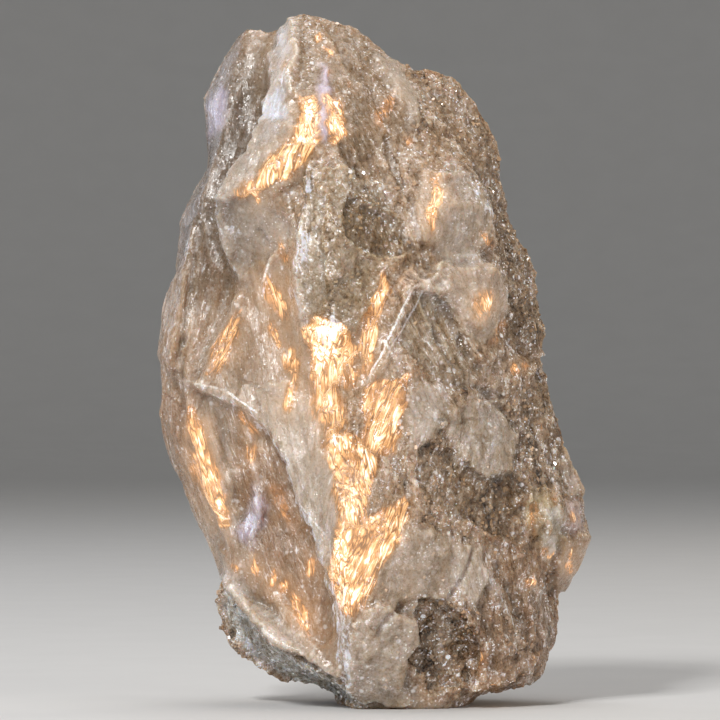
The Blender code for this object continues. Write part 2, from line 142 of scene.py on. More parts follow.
BACK_FLASHES = [
    (-6, 86, 9, 2.5, 10, 0.7, 0.9),
    (-3.5, 80, 4, 1.5, 15, 0.5, 0.8),
    (9, 50, 10, 2.5, 8, 0.6, 0.9),
    (-10, 56, 8, 2, 20, 0.45, 0.8),
    (-20, 68, 12, 3, -15, 0.5, 0.9),
    (16, 36, 9, 2.5, -25, 0.6, 0.9),
    (-10, 26, 4, 1.2, 15, 0.5, 0.8),
    (2, 30, 7, 2, 0, 0.5, 0.7),
    (-12, 92, 2, 1.2, 0, 0.4, 0.8),
    (6, 40, 3, 1.2, 20, 0.4, 0.8),
    (20, 48, 3, 1.0, -15, 0.5, 0.8),
    (22, 60, 8, 2, -10, 0.35, 0.8),
    (-22, 90, 9, 2.5, 5, 0.4, 0.8),
    (20, 22, 6, 2, 15, 0.4, 0.8),
]

# lean, heat, strength, outline of (x, z) corners
FRONT_FLASH_OUTLINES = [
    (10, 1, 1.7, [  # white-hot in the middle
        (-11, 60), (-9, 62), (-5, 60), (-2.5, 57), (-4, 54), (-6.5, 50), (-8.5, 50.5), (-10, 56)]),
    (10, 0.95, 1.3, [  # its strands
        (-10.5, 59), (-3.5, 57), (-5, 52), (-7.5, 47.5), (-9, 47.5), (-9.5, 52)]),
    (-12, 0.85, 1.2, [  # crinkled patch, upper part
        (-7.5, 46), (-4.5, 43.5), (-2, 42), (0, 40), (0, 36), (-1, 32), (0.5, 29.5), (-4, 27),
        (-5.5, 29.5), (-6, 36), (-7.5, 42)]),
    (20, 0.85, 1.25, [  # crinkled patch, lower part
        (-5.5, 29.5), (-1, 30.5), (2, 32), (5, 33), (5.5, 30), (3, 26), (0, 21), (-1.5, 16.5),
        (-4, 15), (-5, 16.5), (-6.5, 23)]),
    (20, 0.9, 1.2, [  # beside it
        (-2, 41.5), (-2, 48), (-0.5, 51), (3, 52), (5, 53), (5, 48.5), (4, 44), (2.5, 40.5)]),
    (-17, 0.85, 1.05, [  # left wall of the hollow
        (-30, 47.5), (-28.5, 46.5), (-26, 40.5), (-24, 34.5), (-22.5, 29), (-24.5, 28.5),
        (-27, 33.5), (-29, 40)]),
    (5, 1, 2.2, [  # two cores below the summit
        (-11.5, 96.5), (-9, 96.5), (-9, 92.5), (-9.5, 89.5), (-12, 88.5), (-12, 92)]),
    (-15, 1, 1.9, [
        (-7.5, 96.5), (-6, 96), (-5, 92.5), (-4.5, 90), (-6, 89), (-7.5, 91.5)]),
    (15, 0.9, 1.5, [  # summit ridge
        (-10.5, 91), (-9, 90), (-10, 87), (-13.5, 84.5), (-17, 82.5), (-21, 79.5), (-21, 81),
        (-17.5, 84.5), (-14.5, 87.5), (-12, 90)]),
    (28, 0.45, 0.75, [  # left fan
        (-22, 62), (-20.5, 62), (-22, 57.5), (-24, 53), (-26.5, 52), (-27, 53), (-24.5, 56.5)]),
]

BACK_FLASH_OUTLINES = [
    (-12, 0.85, 1.15, [  # crinkled patch, upper part
        (1, 79), (4, 76), (5, 70), (8, 64), (6, 60), (3, 63), (1, 68), (-1, 74)]),
    (12, 0.8, 1.1, [  # crinkled patch, lower part
        (-12, 42), (-8, 44), (-9, 37), (-12, 31), (-16, 27), (-17, 30), (-15, 36)]),
    (0, 1, 1.4, [  # its hot core
        (3, 72), (4.5, 71), (5.5, 67), (4, 66), (2.5, 69)]),
]

# ---- bluish-white cleavage sheen, a painted reflection
# x, z, length, width, lean, strength
FRONT_SHEENS = [
    (-15.5, 95, 4.0, 3.25, 0, 0.9),  # facets at the summit
    (-14, 97.5, 9.5, 2.0, 5, 0.5),
    (8, 99, 5.0, 1.5, -40, 0.4),
    (-25.5, 96, 7.5, 2.0, 10, 0.5),  # left lobe
    (-28, 66, 9.5, 2.0, 15, 0.6),
    (-29.5, 72.5, 5.0, 2.0, 10, 0.5),
    (-22.5, 76.5, 8.0, 2.0, -12, 0.4),
    (-10, 82, 8.0, 0.75, 5, 0.7),  # left ridge of the granular dome
    (-11.5, 74, 9.5, 0.75, 12, 0.8),
    (-11, 71.5, 6.0, 1.5, 10, 0.9),
    (-12, 64, 6.5, 1.25, -25, 0.8),
    (-19.3, 30, 8, 2, 12, 0.8),  # blade
    (-12, 79, 6.5, 1.5, 0, 0.3),
    (-16.5, 67.5, 5.0, 0.75, 12, 1),
    (-7.5, 59.5, 5.5, 3.5, 20, 1),  # top of the hot flash
    (-23, 49, 11.0, 0.75, -62, 0.4),  # rim of the hollow
    (-17, 43.5, 8.0, 2.0, -42, 0.7),
    (-13.5, 37.5, 9.5, 1.5, -22, 0.7),
    (-10, 29.5, 8.0, 1.25, -25, 0.6),
    (3, 59.5, 18.5, 1.0, 25, 0.5),  # straight ledge
    (17, 80.5, 9.0, 2.0, -22, 0.6),  # domes and the middle of the right half
    (21, 64.5, 5.0, 1.5, 0, 0.5),
    (11, 46.5, 7.0, 1.5, 15, 0.5),
    (28.5, 38.5, 6.5, 1.25, -5, 0.5),  # right rim
    (27.5, 52.5, 4.0, 1.5, -20, 0.5),
    (14, 17.5, 5.0, 1.5, -25, 0.5),  # foot
    (-4.5, 10, 17.5, 2.5, -8, 0.7),
    (-5, 18, 9.5, 3, 5, 0.7),
    (-12, 6.5, 19.0, 0.75, -62, 0.5),
]

BACK_SHEENS = [
    (-2, 92, 10, 3, 5, 0.7),
    (10, 78, 9, 2.5, -15, 0.8),
    (-12, 72, 12, 2, 12, 0.6),
    (0, 46, 12, 3, -10, 0.7),
    (14, 58, 9, 2, 20, 0.6),
    (-24, 50, 10, 2.5, -8, 0.6),
    (-8, 20, 9, 3, 15, 0.6),
    (18, 30, 8, 2, -20, 0.6),
]

# ---- facets and soft patches of tone; some carry painted highlight, shade and sheen, as noted beside them
# tone, strength, grain, height above its surroundings, outline of (x, z) corners
FRONT_FACETS = [
    ("dark", 0.7, 0.55, 0, [  # face right of the summit, its darker tone deepened with painted shade on the side away from the light
        (-12.5, 110.5), (-4.5, 108), (3.5, 103), (8, 95), (3.5, 88.5), (-2, 85.5), (-7, 88.5),
        (-10.5, 91.5), (-12, 96.5), (-12, 103)]),
    ("pale", 0.45, 0.1, 0.3, [  # smooth band beside it
        (0, 104.5), (4, 102.5), (7.5, 96.5), (7, 93), (4, 95.5), (1.5, 100)]),
    ("pale", 0.7, 0.1, 0.3, [  # strip left of the summit, its pale tone raised by a painted highlight on the side towards the light
        (-13.5, 110.5), (-12.5, 105.5), (-12, 103), (-13, 100.5), (-13, 98), (-13, 93), (-17, 93),
        (-16.5, 101), (-16.5, 103), (-15.5, 105.5), (-14.5, 108)]),
    ("lilac", 0.8, 0, 0.4, [  # painted bluish reflections on facets left of the summit
        (-17, 96.5), (-15, 97.5), (-14, 95.5), (-13.5, 92.5), (-17, 92.5)]),
    # painted bluish reflection on the lobe's left edge
    ("violet", 0.7, 0, 0, [
        (-26.5, 96), (-25, 99.5), (-23.5, 98), (-24, 92.5), (-26.5, 91)]),
    # painted bluish reflection beside the summit
    ("lilac", 0.6, 0, 0.2, [
        (-15.5, 107), (-14, 108), (-13.5, 104), (-15.5, 101.5)]),
    ("violet", 0.9, 0, 0.2, [  # painted sheen on a stripe between the flashes of the summit
        (-8.5, 101.5), (-7, 101), (-7, 94), (-8, 89.5), (-9.5, 90), (-8.5, 95)]),
    ("pale", 0.5, 0.12, 0.8, [  # left shoulder
        (-17, 93), (-12, 92), (-13.5, 87), (-18, 82), (-21.5, 80), (-24, 80), (-20, 87),
        (-18.5, 90)]),
    ("pale", 0.3, 0.2, -0.3, [  # kite
        (-25, 78.5), (-21.5, 80), (-18, 80.5), (-12, 75), (-16, 71.5), (-20.5, 68.5), (-23, 72.5)]),
    ("olive", 0.7, 0.8, 0.8, [  # granular dome
        (-11, 84.5), (-4.5, 86), (0.5, 82), (4, 76.5), (5, 71), (2, 68), (-0.5, 63), (-4, 58),
        (-7, 60), (-10, 60), (-11.5, 66), (-12, 72.5), (-10.5, 80)]),
    ("pale", 0.35, 0.5, 0, [  # its paler flank
        (-10.5, 84), (-8, 80.5), (-8, 74), (-7.5, 66), (-10, 60), (-11.5, 66), (-12, 72.5)]),
    ("dark", 0.75, 1, -0.2, [  # its darkest part
        (-3, 80), (1, 78), (3.5, 75), (4, 71.5), (0, 72), (-4, 74), (-4.5, 77)]),
    ("beige", 0.4, 0.7, 0, [  # fan of cracks
        (-7, 88.5), (-2, 85.5), (3.5, 88.5), (7.5, 84), (9, 76), (10.5, 68), (5, 71), (4, 76.5),
        (0.5, 82), (-4.5, 86)]),
    ("pale", 0.45, 0.35, 0.1, [  # upper right dome
        (8.5, 84.5), (14.5, 85), (18.5, 80.5), (19, 74), (15.5, 70.5), (11, 71), (6.5, 73.5),
        (5.5, 77), (7, 81.5)]),
    ("pale", 0.5, 0.3, 0.3, [  # lower right dome
        (7.5, 67), (10.5, 70.5), (15.5, 71.5), (20, 68.5), (21, 63), (19.5, 59), (15.5, 57.5),
        (11.5, 61.5), (8, 64.5)]),
    ("olive", 0.4, 0.5, -0.6, [  # striated facet
        (6.5, 65.5), (10.5, 64.5), (14, 58), (17, 53.5), (15.5, 51), (10.5, 51), (4, 57.5)]),
    ("pale", 0.6, 0.3, 0.3, [  # smooth patch below it
        (5, 51), (10.5, 51), (12, 48.5), (10.5, 44.5), (8, 42), (5.5, 41.5)]),
    ("pale", 0.55, 0.45, 0.5, [  # pale plane
        (12, 48.5), (20, 49.5), (21, 46), (23.5, 43), (22.5, 37.5), (17, 36), (13, 40),
        (10.5, 44.5)]),
    ("dark", 0.5, 1, -0.6, [  # shadowy crust
        (8, 41.5), (13, 40), (17, 36), (22.5, 37.5), (26.5, 32.5), (23.5, 26), (15.5, 29.5),
        (9, 32.5), (6.5, 37.5)]),
    ("brown", 0.45, 0, 0, [  # hollow
        (-29.5, 51.5), (-24.5, 49.5), (-18.5, 46.5), (-14, 40.5), (-11.5, 33), (-8, 27), (-7, 20),
        (-5, 14.5), (-4.5, 9.5), (-7, 6), (-15, 11.5), (-21.5, 18), (-25.5, 25.5), (-28, 32.5),
        (-30, 40.5), (-31, 47)]),
    ("brown", 1, 0, -0.5, [  # middle of the hollow
        (-21.5, 42), (-14, 39), (-12, 32.5), (-8, 23), (-6, 13.5), (-8.5, 10), (-13.5, 16.5),
        (-19, 23), (-22, 32.5)]),
    ("violet", 1.0, 0, 0.3, [  # blade in the hollow, its colour a painted sheen
        (-19, 35), (-17, 32.5), (-18, 29), (-19.5, 25), (-21.5, 28), (-20, 31)]),
    ("frost", 0.75, 0.3, 0.4, [  # lip, its pale tone with a painted highlight along the rounded edge
        (-24, 22), (-21.5, 20), (-19, 17.5), (-14, 13.5), (-10, 10), (-6, 6.5), (-4, 2), (-8.5, 6),
        (-15, 9), (-18, 11.5), (-20, 14), (-22, 16.5), (-24.5, 19)]),
    ("grey", 1, 0.75, -0.6, [  # ledge
        (-25, 19.5), (-22, 16.5), (-20, 14), (-18, 11), (-15, 8.5), (-8.5, 5.5), (-3, 2), (1, 0.5),
        (-2, 0), (-7, 0.5), (-13.5, 3), (-18, 6), (-20, 7), (-21.5, 9.5), (-24, 12.5),
        (-25, 16.5)]),
    ("pale", 0.6, 0.02, 0.4, [  # spine
        (-18.5, 51), (-14, 52), (-8.5, 48), (-8, 42), (-5.5, 37.5), (-4.5, 29.5), (-5.5, 23),
        (-6, 16.5), (-7, 23), (-10, 29.5), (-12.5, 36.5), (-15.5, 43.5)]),
    ("pale", 0.65, 0.4, 0.6, [  # smooth facet at the foot
        (0, 16.5), (4, 16), (7, 14.5), (7.5, 10), (5.5, 8), (5, 4), (6, 0.5), (-2, 0.5), (-4, 4),
        (-4.5, 8.5), (-3.5, 14)]),
    ("dark", 0.7, 1.3, -1, [  # granular hollow
        (7.5, 16.5), (10.5, 18), (13, 15.5), (15, 13), (16, 10), (15.5, 7.5), (14.5, 4), (9, 3),
        (5.5, 8), (7.5, 10), (7, 14.5)]),
    ("pale", 0.4, 0.4, 0.2, [  # broad smooth swell
        (1, 24), (6, 30), (13, 27), (15.5, 20), (11, 17.5), (6, 17), (2, 17.5)]),
    ("pale", 0.5, 0.15, 0.3, [  # smooth spot above it
        (13, 25.5), (17, 26), (18.5, 21.5), (16, 16.5), (14, 18), (12, 21.5)]),
    ("iris", 0.6, 0.6, 0, [  # play of colour on the right
        (25, 34), (27.5, 35), (30, 31), (30, 25.5), (28, 23), (26, 26), (24, 30)]),
    # painted sheen on a small facet
    ("lilac", 0.55, 0.2, 0.2, [
        (27, 27.5), (29, 27), (29, 24), (27.5, 23.5)]),
    ("grey", 0.7, 0.4, -0.3, [
        (28.5, 31.5), (30.5, 31.5), (30.5, 27.5), (28.5, 27.5)]),
    # painted sheen on a small facet
    ("violet", 0.35, 0.2, 0.1, [
        (31, 32.5), (34, 32), (34, 28), (31, 27.5)]),
    ("beige", 0.7, 0.1, 0.6, [  # smooth corner of the right rim
        (30, 27), (34, 27.5), (36, 25), (35, 20), (31, 17), (29, 18.5), (29.5, 23)]),
    ("pale", 0.3, 0.3, 0.5, [
        (31, 45), (34, 40), (35.5, 34), (32, 33), (30, 38)]),
    ("brown", 0.3, 0, 0, [  # warm wall left of the middle
        (-27, 61.5), (-20.5, 68), (-16, 71.5), (-12, 66), (-11.5, 58), (-13.5, 52), (-18.5, 51),
        (-21.5, 52), (-27, 55.5)]),
]

BACK_FACETS = [
    ("pale", 0.6, 0.2, 0.8, [  # facet below the summit
        (-14, 104), (4, 100), (8, 84), (-4, 72), (-16, 82)]),
    ("brown", 0.8, 0.1, -0.6, [  # long hollow
        (4, 70), (12, 62), (10, 40), (2, 24), (-6, 34), (-4, 56)]),
    ("olive", 0.7, 0.9, 0.7, [
        (-20, 70), (-8, 66), (-6, 46), (-14, 38), (-26, 48)]),
    ("pale", 0.5, 0.3, 0.6, [
        (14, 78), (24, 70), (24, 52), (14, 48)]),
    ("dark", 0.7, 1.2, -0.7, [
        (12, 38), (26, 34), (24, 16), (12, 14)]),
    ("grey", 0.8, 0.9, -0.4, [
        (-20, 24), (-6, 20), (0, 4), (-14, 2)]),
    ("brown", 0.7, 0.2, -0.5, [
        (-26, 90), (-20, 92), (-18, 76), (-26, 70)]),
    ("pale", 0.6, 0.1, 0.7, [
        (-16, 66), (-6, 70), (0, 60), (-6, 50), (-14, 52)]),
    ("olive", 0.6, 0.8, 0.6, [
        (4, 26), (12, 30), (14, 18), (8, 8), (2, 12)]),
    # painted sheen
    ("lilac", 0.5, 0, 0.3, [
        (0, 98), (4, 92), (3, 86), (-1, 90)]),
    ("dark", 0.6, 1.0, -0.6, [
        (10, 96), (18, 88), (20, 78), (12, 76), (7, 86)]),
]

# x, z, length, width, lean, tone, strength
FRONT_TONES = [
    (-24, 37, 24, 8, -18, "grey", 0.35),  # upper side of the hollow
    (-24, 76.5, 30, 4, 14, "brown", 0.9),  # painted shade along the valley beside the lobe
    (-32, 44, 26, 8, -8, "brown", 0.8),
    (-25, 88, 42, 17, 6, "umber", 0.9),  # lobe, darkened with painted shade
    (25, 66, 56, 12, -17, "dark", 0.75),  # crust
    (32, 34, 40, 11, -6, "dark", 0.75),
    (10, 99, 20, 5, -55, "dark", 0.3),
    (24, 15, 34, 20, 0, "brown", 0.65),  # translucent lower right
    (19, 37, 16, 14, -20, "dark", 0.4),
]

BACK_TONES = [
    (-24, 78, 50, 12, 8, "brown", 0.6),
    (22, 60, 34, 10, -12, "dark", 0.5),
    (-16, 30, 26, 14, 20, "brown", 0.4),
]

# ---- ridges, grooves and cracks: ridges take a painted highlight and sheen, grooves and cracks a painted shade
# kind, width, strength, line of (x, z) corners
FRONT_LINES = [
    ("ridge", 1.2, 0.9, [  # ridge below the summit
        (-13, 110), (-12.5, 105.5), (-12, 103), (-13, 100.5), (-13, 98), (-12, 96.5), (-11, 95.5),
        (-10.5, 91.5)]),
    ("ridge", 1.2, 0.8, [  # edge over the left lobe
        (-14.5, 108), (-16.5, 103), (-16.5, 101), (-17, 94), (-18.5, 90), (-22.5, 83.5), (-24, 80),
        (-25, 78.5), (-24, 75.5), (-23, 72.5), (-23, 70.5), (-20.5, 68)]),
    ("ridge", 1.2, 0.5, [
        (-21.5, 64.5), (-24, 62), (-26, 58), (-27, 55.5), (-28, 51.5)]),
    ("ridge", 1.2, 0.8, [  # golden ridge
        (-10.5, 91.5), (-12, 88), (-14, 86), (-17, 83.5), (-18.5, 82)]),
    ("ridge", 1.4, 1, [  # left ridge of the dome
        (-10, 85), (-10.5, 80), (-11.5, 75), (-12, 71), (-11.5, 66), (-11, 61.5), (-10, 58)]),
    ("ridge", 1.3, 1, [  # rim of the hollow
        (-29.5, 51.5), (-24.5, 49.5), (-21.5, 48.5), (-18.5, 46.5), (-15.5, 43.5), (-14, 40.5),
        (-11.5, 33), (-8, 27), (-7, 20), (-5.5, 18), (-5, 14.5), (-4.5, 9.5), (-3.5, 2)]),
    ("ridge", 1.1, 0.6, [  # straight ledge
        (6, 67), (4, 61.5), (3, 58), (0, 52.5), (-1, 50.5)]),
    ("ridge", 1.2, 0.7, [
        (10.5, 84), (14, 85), (16.5, 84), (18.5, 80), (18.5, 75)]),
    ("ridge", 1.2, 0.6, [
        (8, 66), (10.5, 70), (14.5, 71.5), (18.5, 70), (20.5, 66), (21, 61.5)]),
    ("ridge", 1.2, 0.6, [  # fold in the hollow
        (-20, 46), (-19.5, 40.5), (-18, 32.5), (-19, 25.5)]),
    ("ridge", 0.9, 0.8, [
        (-16, 71.5), (-17, 68.5), (-16.5, 64.5)]),
    ("ridge", 1, 0.6, [
        (21, 46), (26.5, 41.5), (29, 36), (30, 29.5)]),
    ("groove", 1, 0.9, [
        (-4.5, 88.5), (-1.5, 83), (2.5, 77.5), (6, 72.5), (8, 68.5), (10.5, 67)]),
    ("groove", 1, 0.8, [
        (2, 90), (3.5, 84.5), (6, 79), (7, 74), (9, 69.5)]),
    ("groove", 0.9, 0.6, [
        (10.5, 64.5), (14, 58), (17, 53.5)]),
    ("groove", 0.8, 0.6, [
        (8, 64.5), (10.5, 59), (13, 54)]),
    ("groove", 1, 0.8, [
        (-0.5, 44.5), (2.5, 40.5), (5, 36), (5, 31), (2, 26), (-1.5, 23), (-3, 19)]),
    ("groove", 1.1, 1, [
        (13, 15.5), (15, 13), (16, 10), (15.5, 7.5), (14.5, 2)]),
    ("groove", 1, 0.9, [
        (4, 16), (7, 14.5), (7.5, 10), (5.5, 8), (5, 4)]),
    ("crack", 0.5, 0.8, [
        (15.5, 25.5), (14, 21.5), (12, 18)]),
    ("crack", 0.5, 0.8, [
        (4, 16.5), (2, 15), (0.5, 12)]),
    ("groove", 1, 0.8, [
        (18.5, 49.5), (21, 46), (23.5, 43), (22.5, 37.5)]),
    ("groove", 1.3, 1, [  # under the lip, where painted shade stands for the lip's shadow
        (-25, 19.5), (-22, 16.5), (-20, 14), (-18, 11.5), (-15, 9), (-8.5, 6), (-3, 2)]),
    ("groove", 1.2, 0.5, [
        (-23, 21), (-20, 18), (-16.5, 16), (-14, 12.5), (-11, 9.5)]),
    ("groove", 1.6, 0.9, [  # valley beside the lobe
        (-15.5, 105.5), (-18, 95), (-20.5, 88.5), (-24, 83), (-26, 78), (-25, 72.5), (-22.5, 68.5),
        (-24, 62), (-27, 56.5), (-29, 51.5)]),
    ("groove", 1, 0.6, [
        (-28, 76.5), (-28.5, 71), (-30, 61.5), (-31.5, 55)]),
    ("groove", 1, 0.6, [
        (-30.5, 58), (-31, 50), (-29.5, 42), (-27, 32.5), (-24, 25.5)]),
    ("groove", 1, 0.7, [
        (10.5, 51), (15.5, 51), (20, 49.5)]),
    ("groove", 1.0, 0.5, [  # edge of the crust
        (9, 100.5), (12, 93.5), (16, 87), (19.5, 78), (21, 71), (22.5, 63), (24, 56.5)]),
    ("groove", 1.2, 0.7, [
        (9.5, 72.5), (12, 70.5), (17, 70.5), (20, 72.5)]),
    ("crack", 0.6, 0.7, [
        (-18.5, 75), (-16, 72.5), (-17, 70.5)]),
    ("groove", 0.9, 0.7, [
        (-11, 61), (-8.5, 61), (-5.5, 58.5), (-3, 55)]),
    ("crack", 0.6, 0.6, [
        (-1.5, 60), (3.5, 68.5), (6, 70.5)]),
    ("groove", 1, 0.6, [
        (27.5, 55), (25, 48.5), (26, 42), (29, 37.5)]),
    ("groove", 1, 0.6, [
        (17, 16.5), (19, 10), (18.5, 2)]),
    ("ridge", 1.2, 0.7, [  # folds of the lower right
        (18, 22), (21, 15), (24, 8), (25, 3)]),
    ("groove", 1.1, 0.8, [
        (20, 22.5), (23, 16), (26, 9)]),
    ("ridge", 1.1, 0.6, [
        (23.5, 24), (26.5, 17), (28.5, 10)]),
    ("groove", 0.9, 0.5, [
        (-7, 108), (-4.5, 103), (-0.5, 98), (2, 93.5)]),
]

BACK_LINES = [
    ("ridge", 1.3, 0.9, [(-12, 106), (-8, 92), (-14, 78), (-12, 62), (-6, 46), (-2, 30)]),
    ("ridge", 1.3, 0.8, [(4, 100), (8, 84), (14, 78), (24, 70)]),
    ("groove", 1.2, 0.8, [(4, 88), (4, 70), (-4, 56), (-6, 34)]),
    ("groove", 1.2, 0.7, [(12, 62), (10, 40), (14, 24), (12, 8)]),
    ("ridge", 1.2, 0.7, [(-26, 48), (-18, 36), (-16, 20)]),
    ("crack", 0.6, 0.8, [(14, 48), (20, 40), (26, 42)]),
    ("groove", 1.0, 0.6, [(-22, 84), (-24, 66), (-28, 50)]),
    ("ridge", 1.2, 0.8, [(-14, 82), (-4, 72), (2, 60), (0, 46)]),
    ("ridge", 1.2, 0.7, [(-20, 34), (-8, 30), (2, 24), (10, 30)]),
    ("groove", 1.1, 0.8, [(-26, 70), (-14, 68), (-10, 78)]),
    ("groove", 1.0, 0.7, [(2, 12), (-4, 20), (-16, 26)]),
]

# width, strength, both ends (x, z) of the crisp straight edges, drawn as painted highlights where
# they catch the light
CRISP_EDGES = [
    (0.22, 0.7, (6.5, 67), (-1.5, 51)),  # straight ledge
    (0.18, 0.45, (8.5, 67), (1, 54)),
    (0.22, 0.35, (-29, 51.5), (-23, 50)),  # rim of the hollow
    (0.25, 0.8, (-23.5, 50.2), (-18, 46.4)),
    (0.25, 0.6, (-16.5, 70.5), (-17.5, 67)),
    (0.2, 0.5, (-12.5, 71.5), (-11.2, 68.5)),
    (0.2, 0.4, (-12, 33), (-7, 27)),  # edge of the spine
    (0.2, 0.3, (-7, 27.5), (-6.4, 18)),
    (0.2, 0.3, (-6.4, 18.5), (-3.3, 4)),
]
LINE_HEIGHTS = {"ridge": 0.5, "groove": -0.7, "crack": -0.5}  # in millimetres
HIGHEST = 1.5  # most that facets and lines stand out or lie back, in millimetres

# ---- strands: the drawn-out grain
# x, z, length, width, lean, strength
FRONT_STRANDS = [
    (-26, 86, 50, 16, 8, 0.3),  # lobe
    (-29, 60, 34, 12, 16, 0.9),
    (-20, 58, 26, 14, -10, 0.5),  # fan
    (-17, 32, 40, 16, -20, 1.0),  # hollow
    (-31, 38, 34, 8, -12, 0.9),
    (-7, 46, 24, 8, -4, 0.6),  # below the hot flash
    (-2, 30, 40, 14, 15, 0.8),  # crinkled patch
    (10, 56, 24, 16, -30, 1.0),  # striated facet
    (2, 88, 34, 16, -22, 0.7),  # upper right
    (12, 40, 26, 18, 22, 0.6),
    (22, 16, 34, 20, -18, 0.8),  # lower right
    (29, 40, 40, 9, -14, 0.6),
    (13, 72, 34, 12, -5, 0.4),
]

BACK_STRANDS = [
    (-24, 74, 60, 20, 8, 0.9),
    (0, 76, 44, 24, -12, 0.7),
    (6, 40, 44, 24, 12, 0.7),
    (-16, 26, 40, 20, 18, 0.7),
    (20, 46, 50, 14, -12, 0.6),
]


def leaning(rows, low, high):
    """Return the strands whose lean lies between low and high."""
    return [row for row in rows if low <= row[4] < high]


# lean of the relief of strands: the strands on the front and back that it stands for
STRAND_LEANS = {
    lean: (leaning(FRONT_STRANDS, low, high), leaning(BACK_STRANDS, low, high))
    for lean, low, high in (("-30", -90, -25), ("-15", -25, -8), ("0", -8, 10), ("18", 10, 90))
}

# ---- granular crust
# x, z, length, width, lean, strength
FRONT_GRAINS = [
    (-25, 92, 34, 14, 6, 0.12),  # lobe
    (-3, 74, 30, 20, -15, 0.9),  # dome
    (24, 70, 46, 18, -14, 1.0),  # right flank
    (28, 40, 46, 18, -14, 1.0),
    (8, 98, 18, 26, -60, 0.8),
    (14, 88, 22, 16, -30, 0.7),
    (17, 37, 26, 30, -20, 1.0),
    (12, 11, 20, 14, 0, 1.0),
    (22, 14, 34, 26, 0, 0.55),
    (10, 56, 26, 18, -30, 0.6),
    (-2, 45, 20, 8, -10, 0.6),
    (-14, 5, 30, 10, -62, 1.0),  # ledge
    (-22, 12, 14, 10, -30, 1.0),
    (5, 12, 24, 14, 0, 0.5),
    (-9, 102, 18, 14, 0, 0.6),
]

BACK_GRAINS = [
    (20, 56, 70, 26, -12, 1.0),
    (14, 16, 30, 34, 0, 0.9),
    (4, 92, 26, 24, 0, 0.6),
    (-16, 14, 26, 26, 20, 0.8),
    (0, 56, 20, 16, 0, 0.5),
]

# ---- creases worn away
# x, z, length, width, lean, strength
FRONT_WORN = [
    (-23.5, 95, 24, 10, 8, 0.8),
    (-24, 69.5, 4, 12, 0, 1.0),
    (13, 46, 4, 16, 0, 1.0),
]

# ---- how the lists are laid on the stone; lengths are in millimetres
FRAYS = ((4.0, 0.9), (1.3, 0.5))  # wave length and reach of the wandering edges of patches
FRAY_SEED = 7  # keeps the wandering the same in each run
LINE_FRAY = 0.4  # share of that reach for lines
FLASH_EDGE = 1.1  # softness of the edge of an outlined flash
GLOW_EDGE = 3.2  # softness of the edge of the glow round it
GLOW_REACH = 1.8  # how far the glow round an oval flash reaches past it
GLOW_LIMIT = 1.1  # most that a glow can be
RIDGE_WIDTH = 0.6  # share of a ridge's width that has a painted sheen
RIDGE_SHEEN = 0.6  # strength of that sheen
LINE_TINT = 0.45  # how much a ridge takes its painted highlight, and grooves and cracks their painted shade
LEAST_GRAIN = 0.15  # how granular the rest of the stone is
WEIGHT_STEPS = 50  # steps of a vertex group's weights
FOOT_EDGE = 0.4  # the foot stays as it is up to here
CRYSTAL_FREE = 1.5  # no crystals up to here
SMOOTH_GRAIN = 0.35  # no crystals where it is less granular than this
SEAT_DEPTH = 0.22  # share of a crystal's width that is sunk into the stone


# ==== sizes and colours
def length_setting(name, description, default):
    """Return a length setting."""
    return bpy.props.FloatProperty(
        name=name, description=description, default=default, subtype="DISTANCE", unit="LENGTH")


def colour_setting(name, description, default):
    """Return a colour setting."""
    return bpy.props.FloatVectorProperty(
        name=name, description=description, default=default, size=3,
        subtype="COLOR", min=0.0, max=1.0)


class StoneSizes(bpy.types.PropertyGroup):
    """Sizes of the stone's surface."""

    mesh_width: length_setting("Mesh Width", "Width of the finished mesh's faces", 0.52 * MM)
    grain_height: length_setting("Grain Height", "Height of the grains of the crust", 0.55 * MM)
    strand_height: length_setting("Strand Height", "Height of the drawn-out strands", 0.35 * MM)
    crystal_size: length_setting("Crystal Size", "Mean width of a crystal in the crust", 0.68 * MM)
    crystals: bpy.props.IntProperty(
        name="Crystals", description="Number of small crystals in the crust", default=3200)


class StoneColours(bpy.types.PropertyGroup):
    """Colours of the stone, and of the highlights, shade and sheen painted on it."""

    beige: colour_setting("Beige", "Most of the stone", (0.41, 0.28, 0.18))
    brown: colour_setting("Brown", "Translucent hollow and edges", (0.30, 0.165, 0.08))
    olive: colour_setting("Olive", "Granular dome and striated facet", (0.33, 0.255, 0.16))
    pale: colour_setting("Pale", "Smooth domes and spine", (0.58, 0.50, 0.43))
    # painted shade on the lobe
    umber: colour_setting("Umber", "Shaded lobe and rims", (0.13, 0.095, 0.065))
    # darker crust; on the face right of the summit it also carries painted shade
    dark: colour_setting("Dark", "Shadowy crust", (0.22, 0.14, 0.07))
    grey: colour_setting("Grey", "Ledge at the foot", (0.5, 0.5, 0.48))
    iris: colour_setting("Iris", "Play of colour on the right", (0.47, 0.39, 0.22))
    # painted sheen on small facets
    violet: colour_setting("Violet", "Blade of sheen in the hollow", (0.52, 0.47, 0.66))
    # painted highlight on ridges, raised places and the lip
    frost: colour_setting("Frost", "Thin edges of ridges", (0.68, 0.62, 0.57))
    # painted shade in grooves, cracks and sunken places
    crack: colour_setting("Crack", "Bottoms of grooves", (0.19, 0.12, 0.07))
    # painted sheen, also the colour of the faint glow of sheen and glints
    lilac: colour_setting("Lilac", "Cleavage sheen", (0.74, 0.75, 0.82))
    # painted glints of single grains and crisp edges
    spark: colour_setting("Spark", "Glints of single grains", (0.95, 0.93, 0.92))


class StageSizes(bpy.types.PropertyGroup):
    """Sizes of the stage around the stone."""

    floor_radius: length_setting("Floor Radius", "Radius of the flat floor", 1.7)
    camera_distance: length_setting("Camera Distance", "From the camera to the stone", 0.9)


def stone_sizes():
    """Return the sizes that the user has set."""
    return bpy.context.scene.stone_sizes


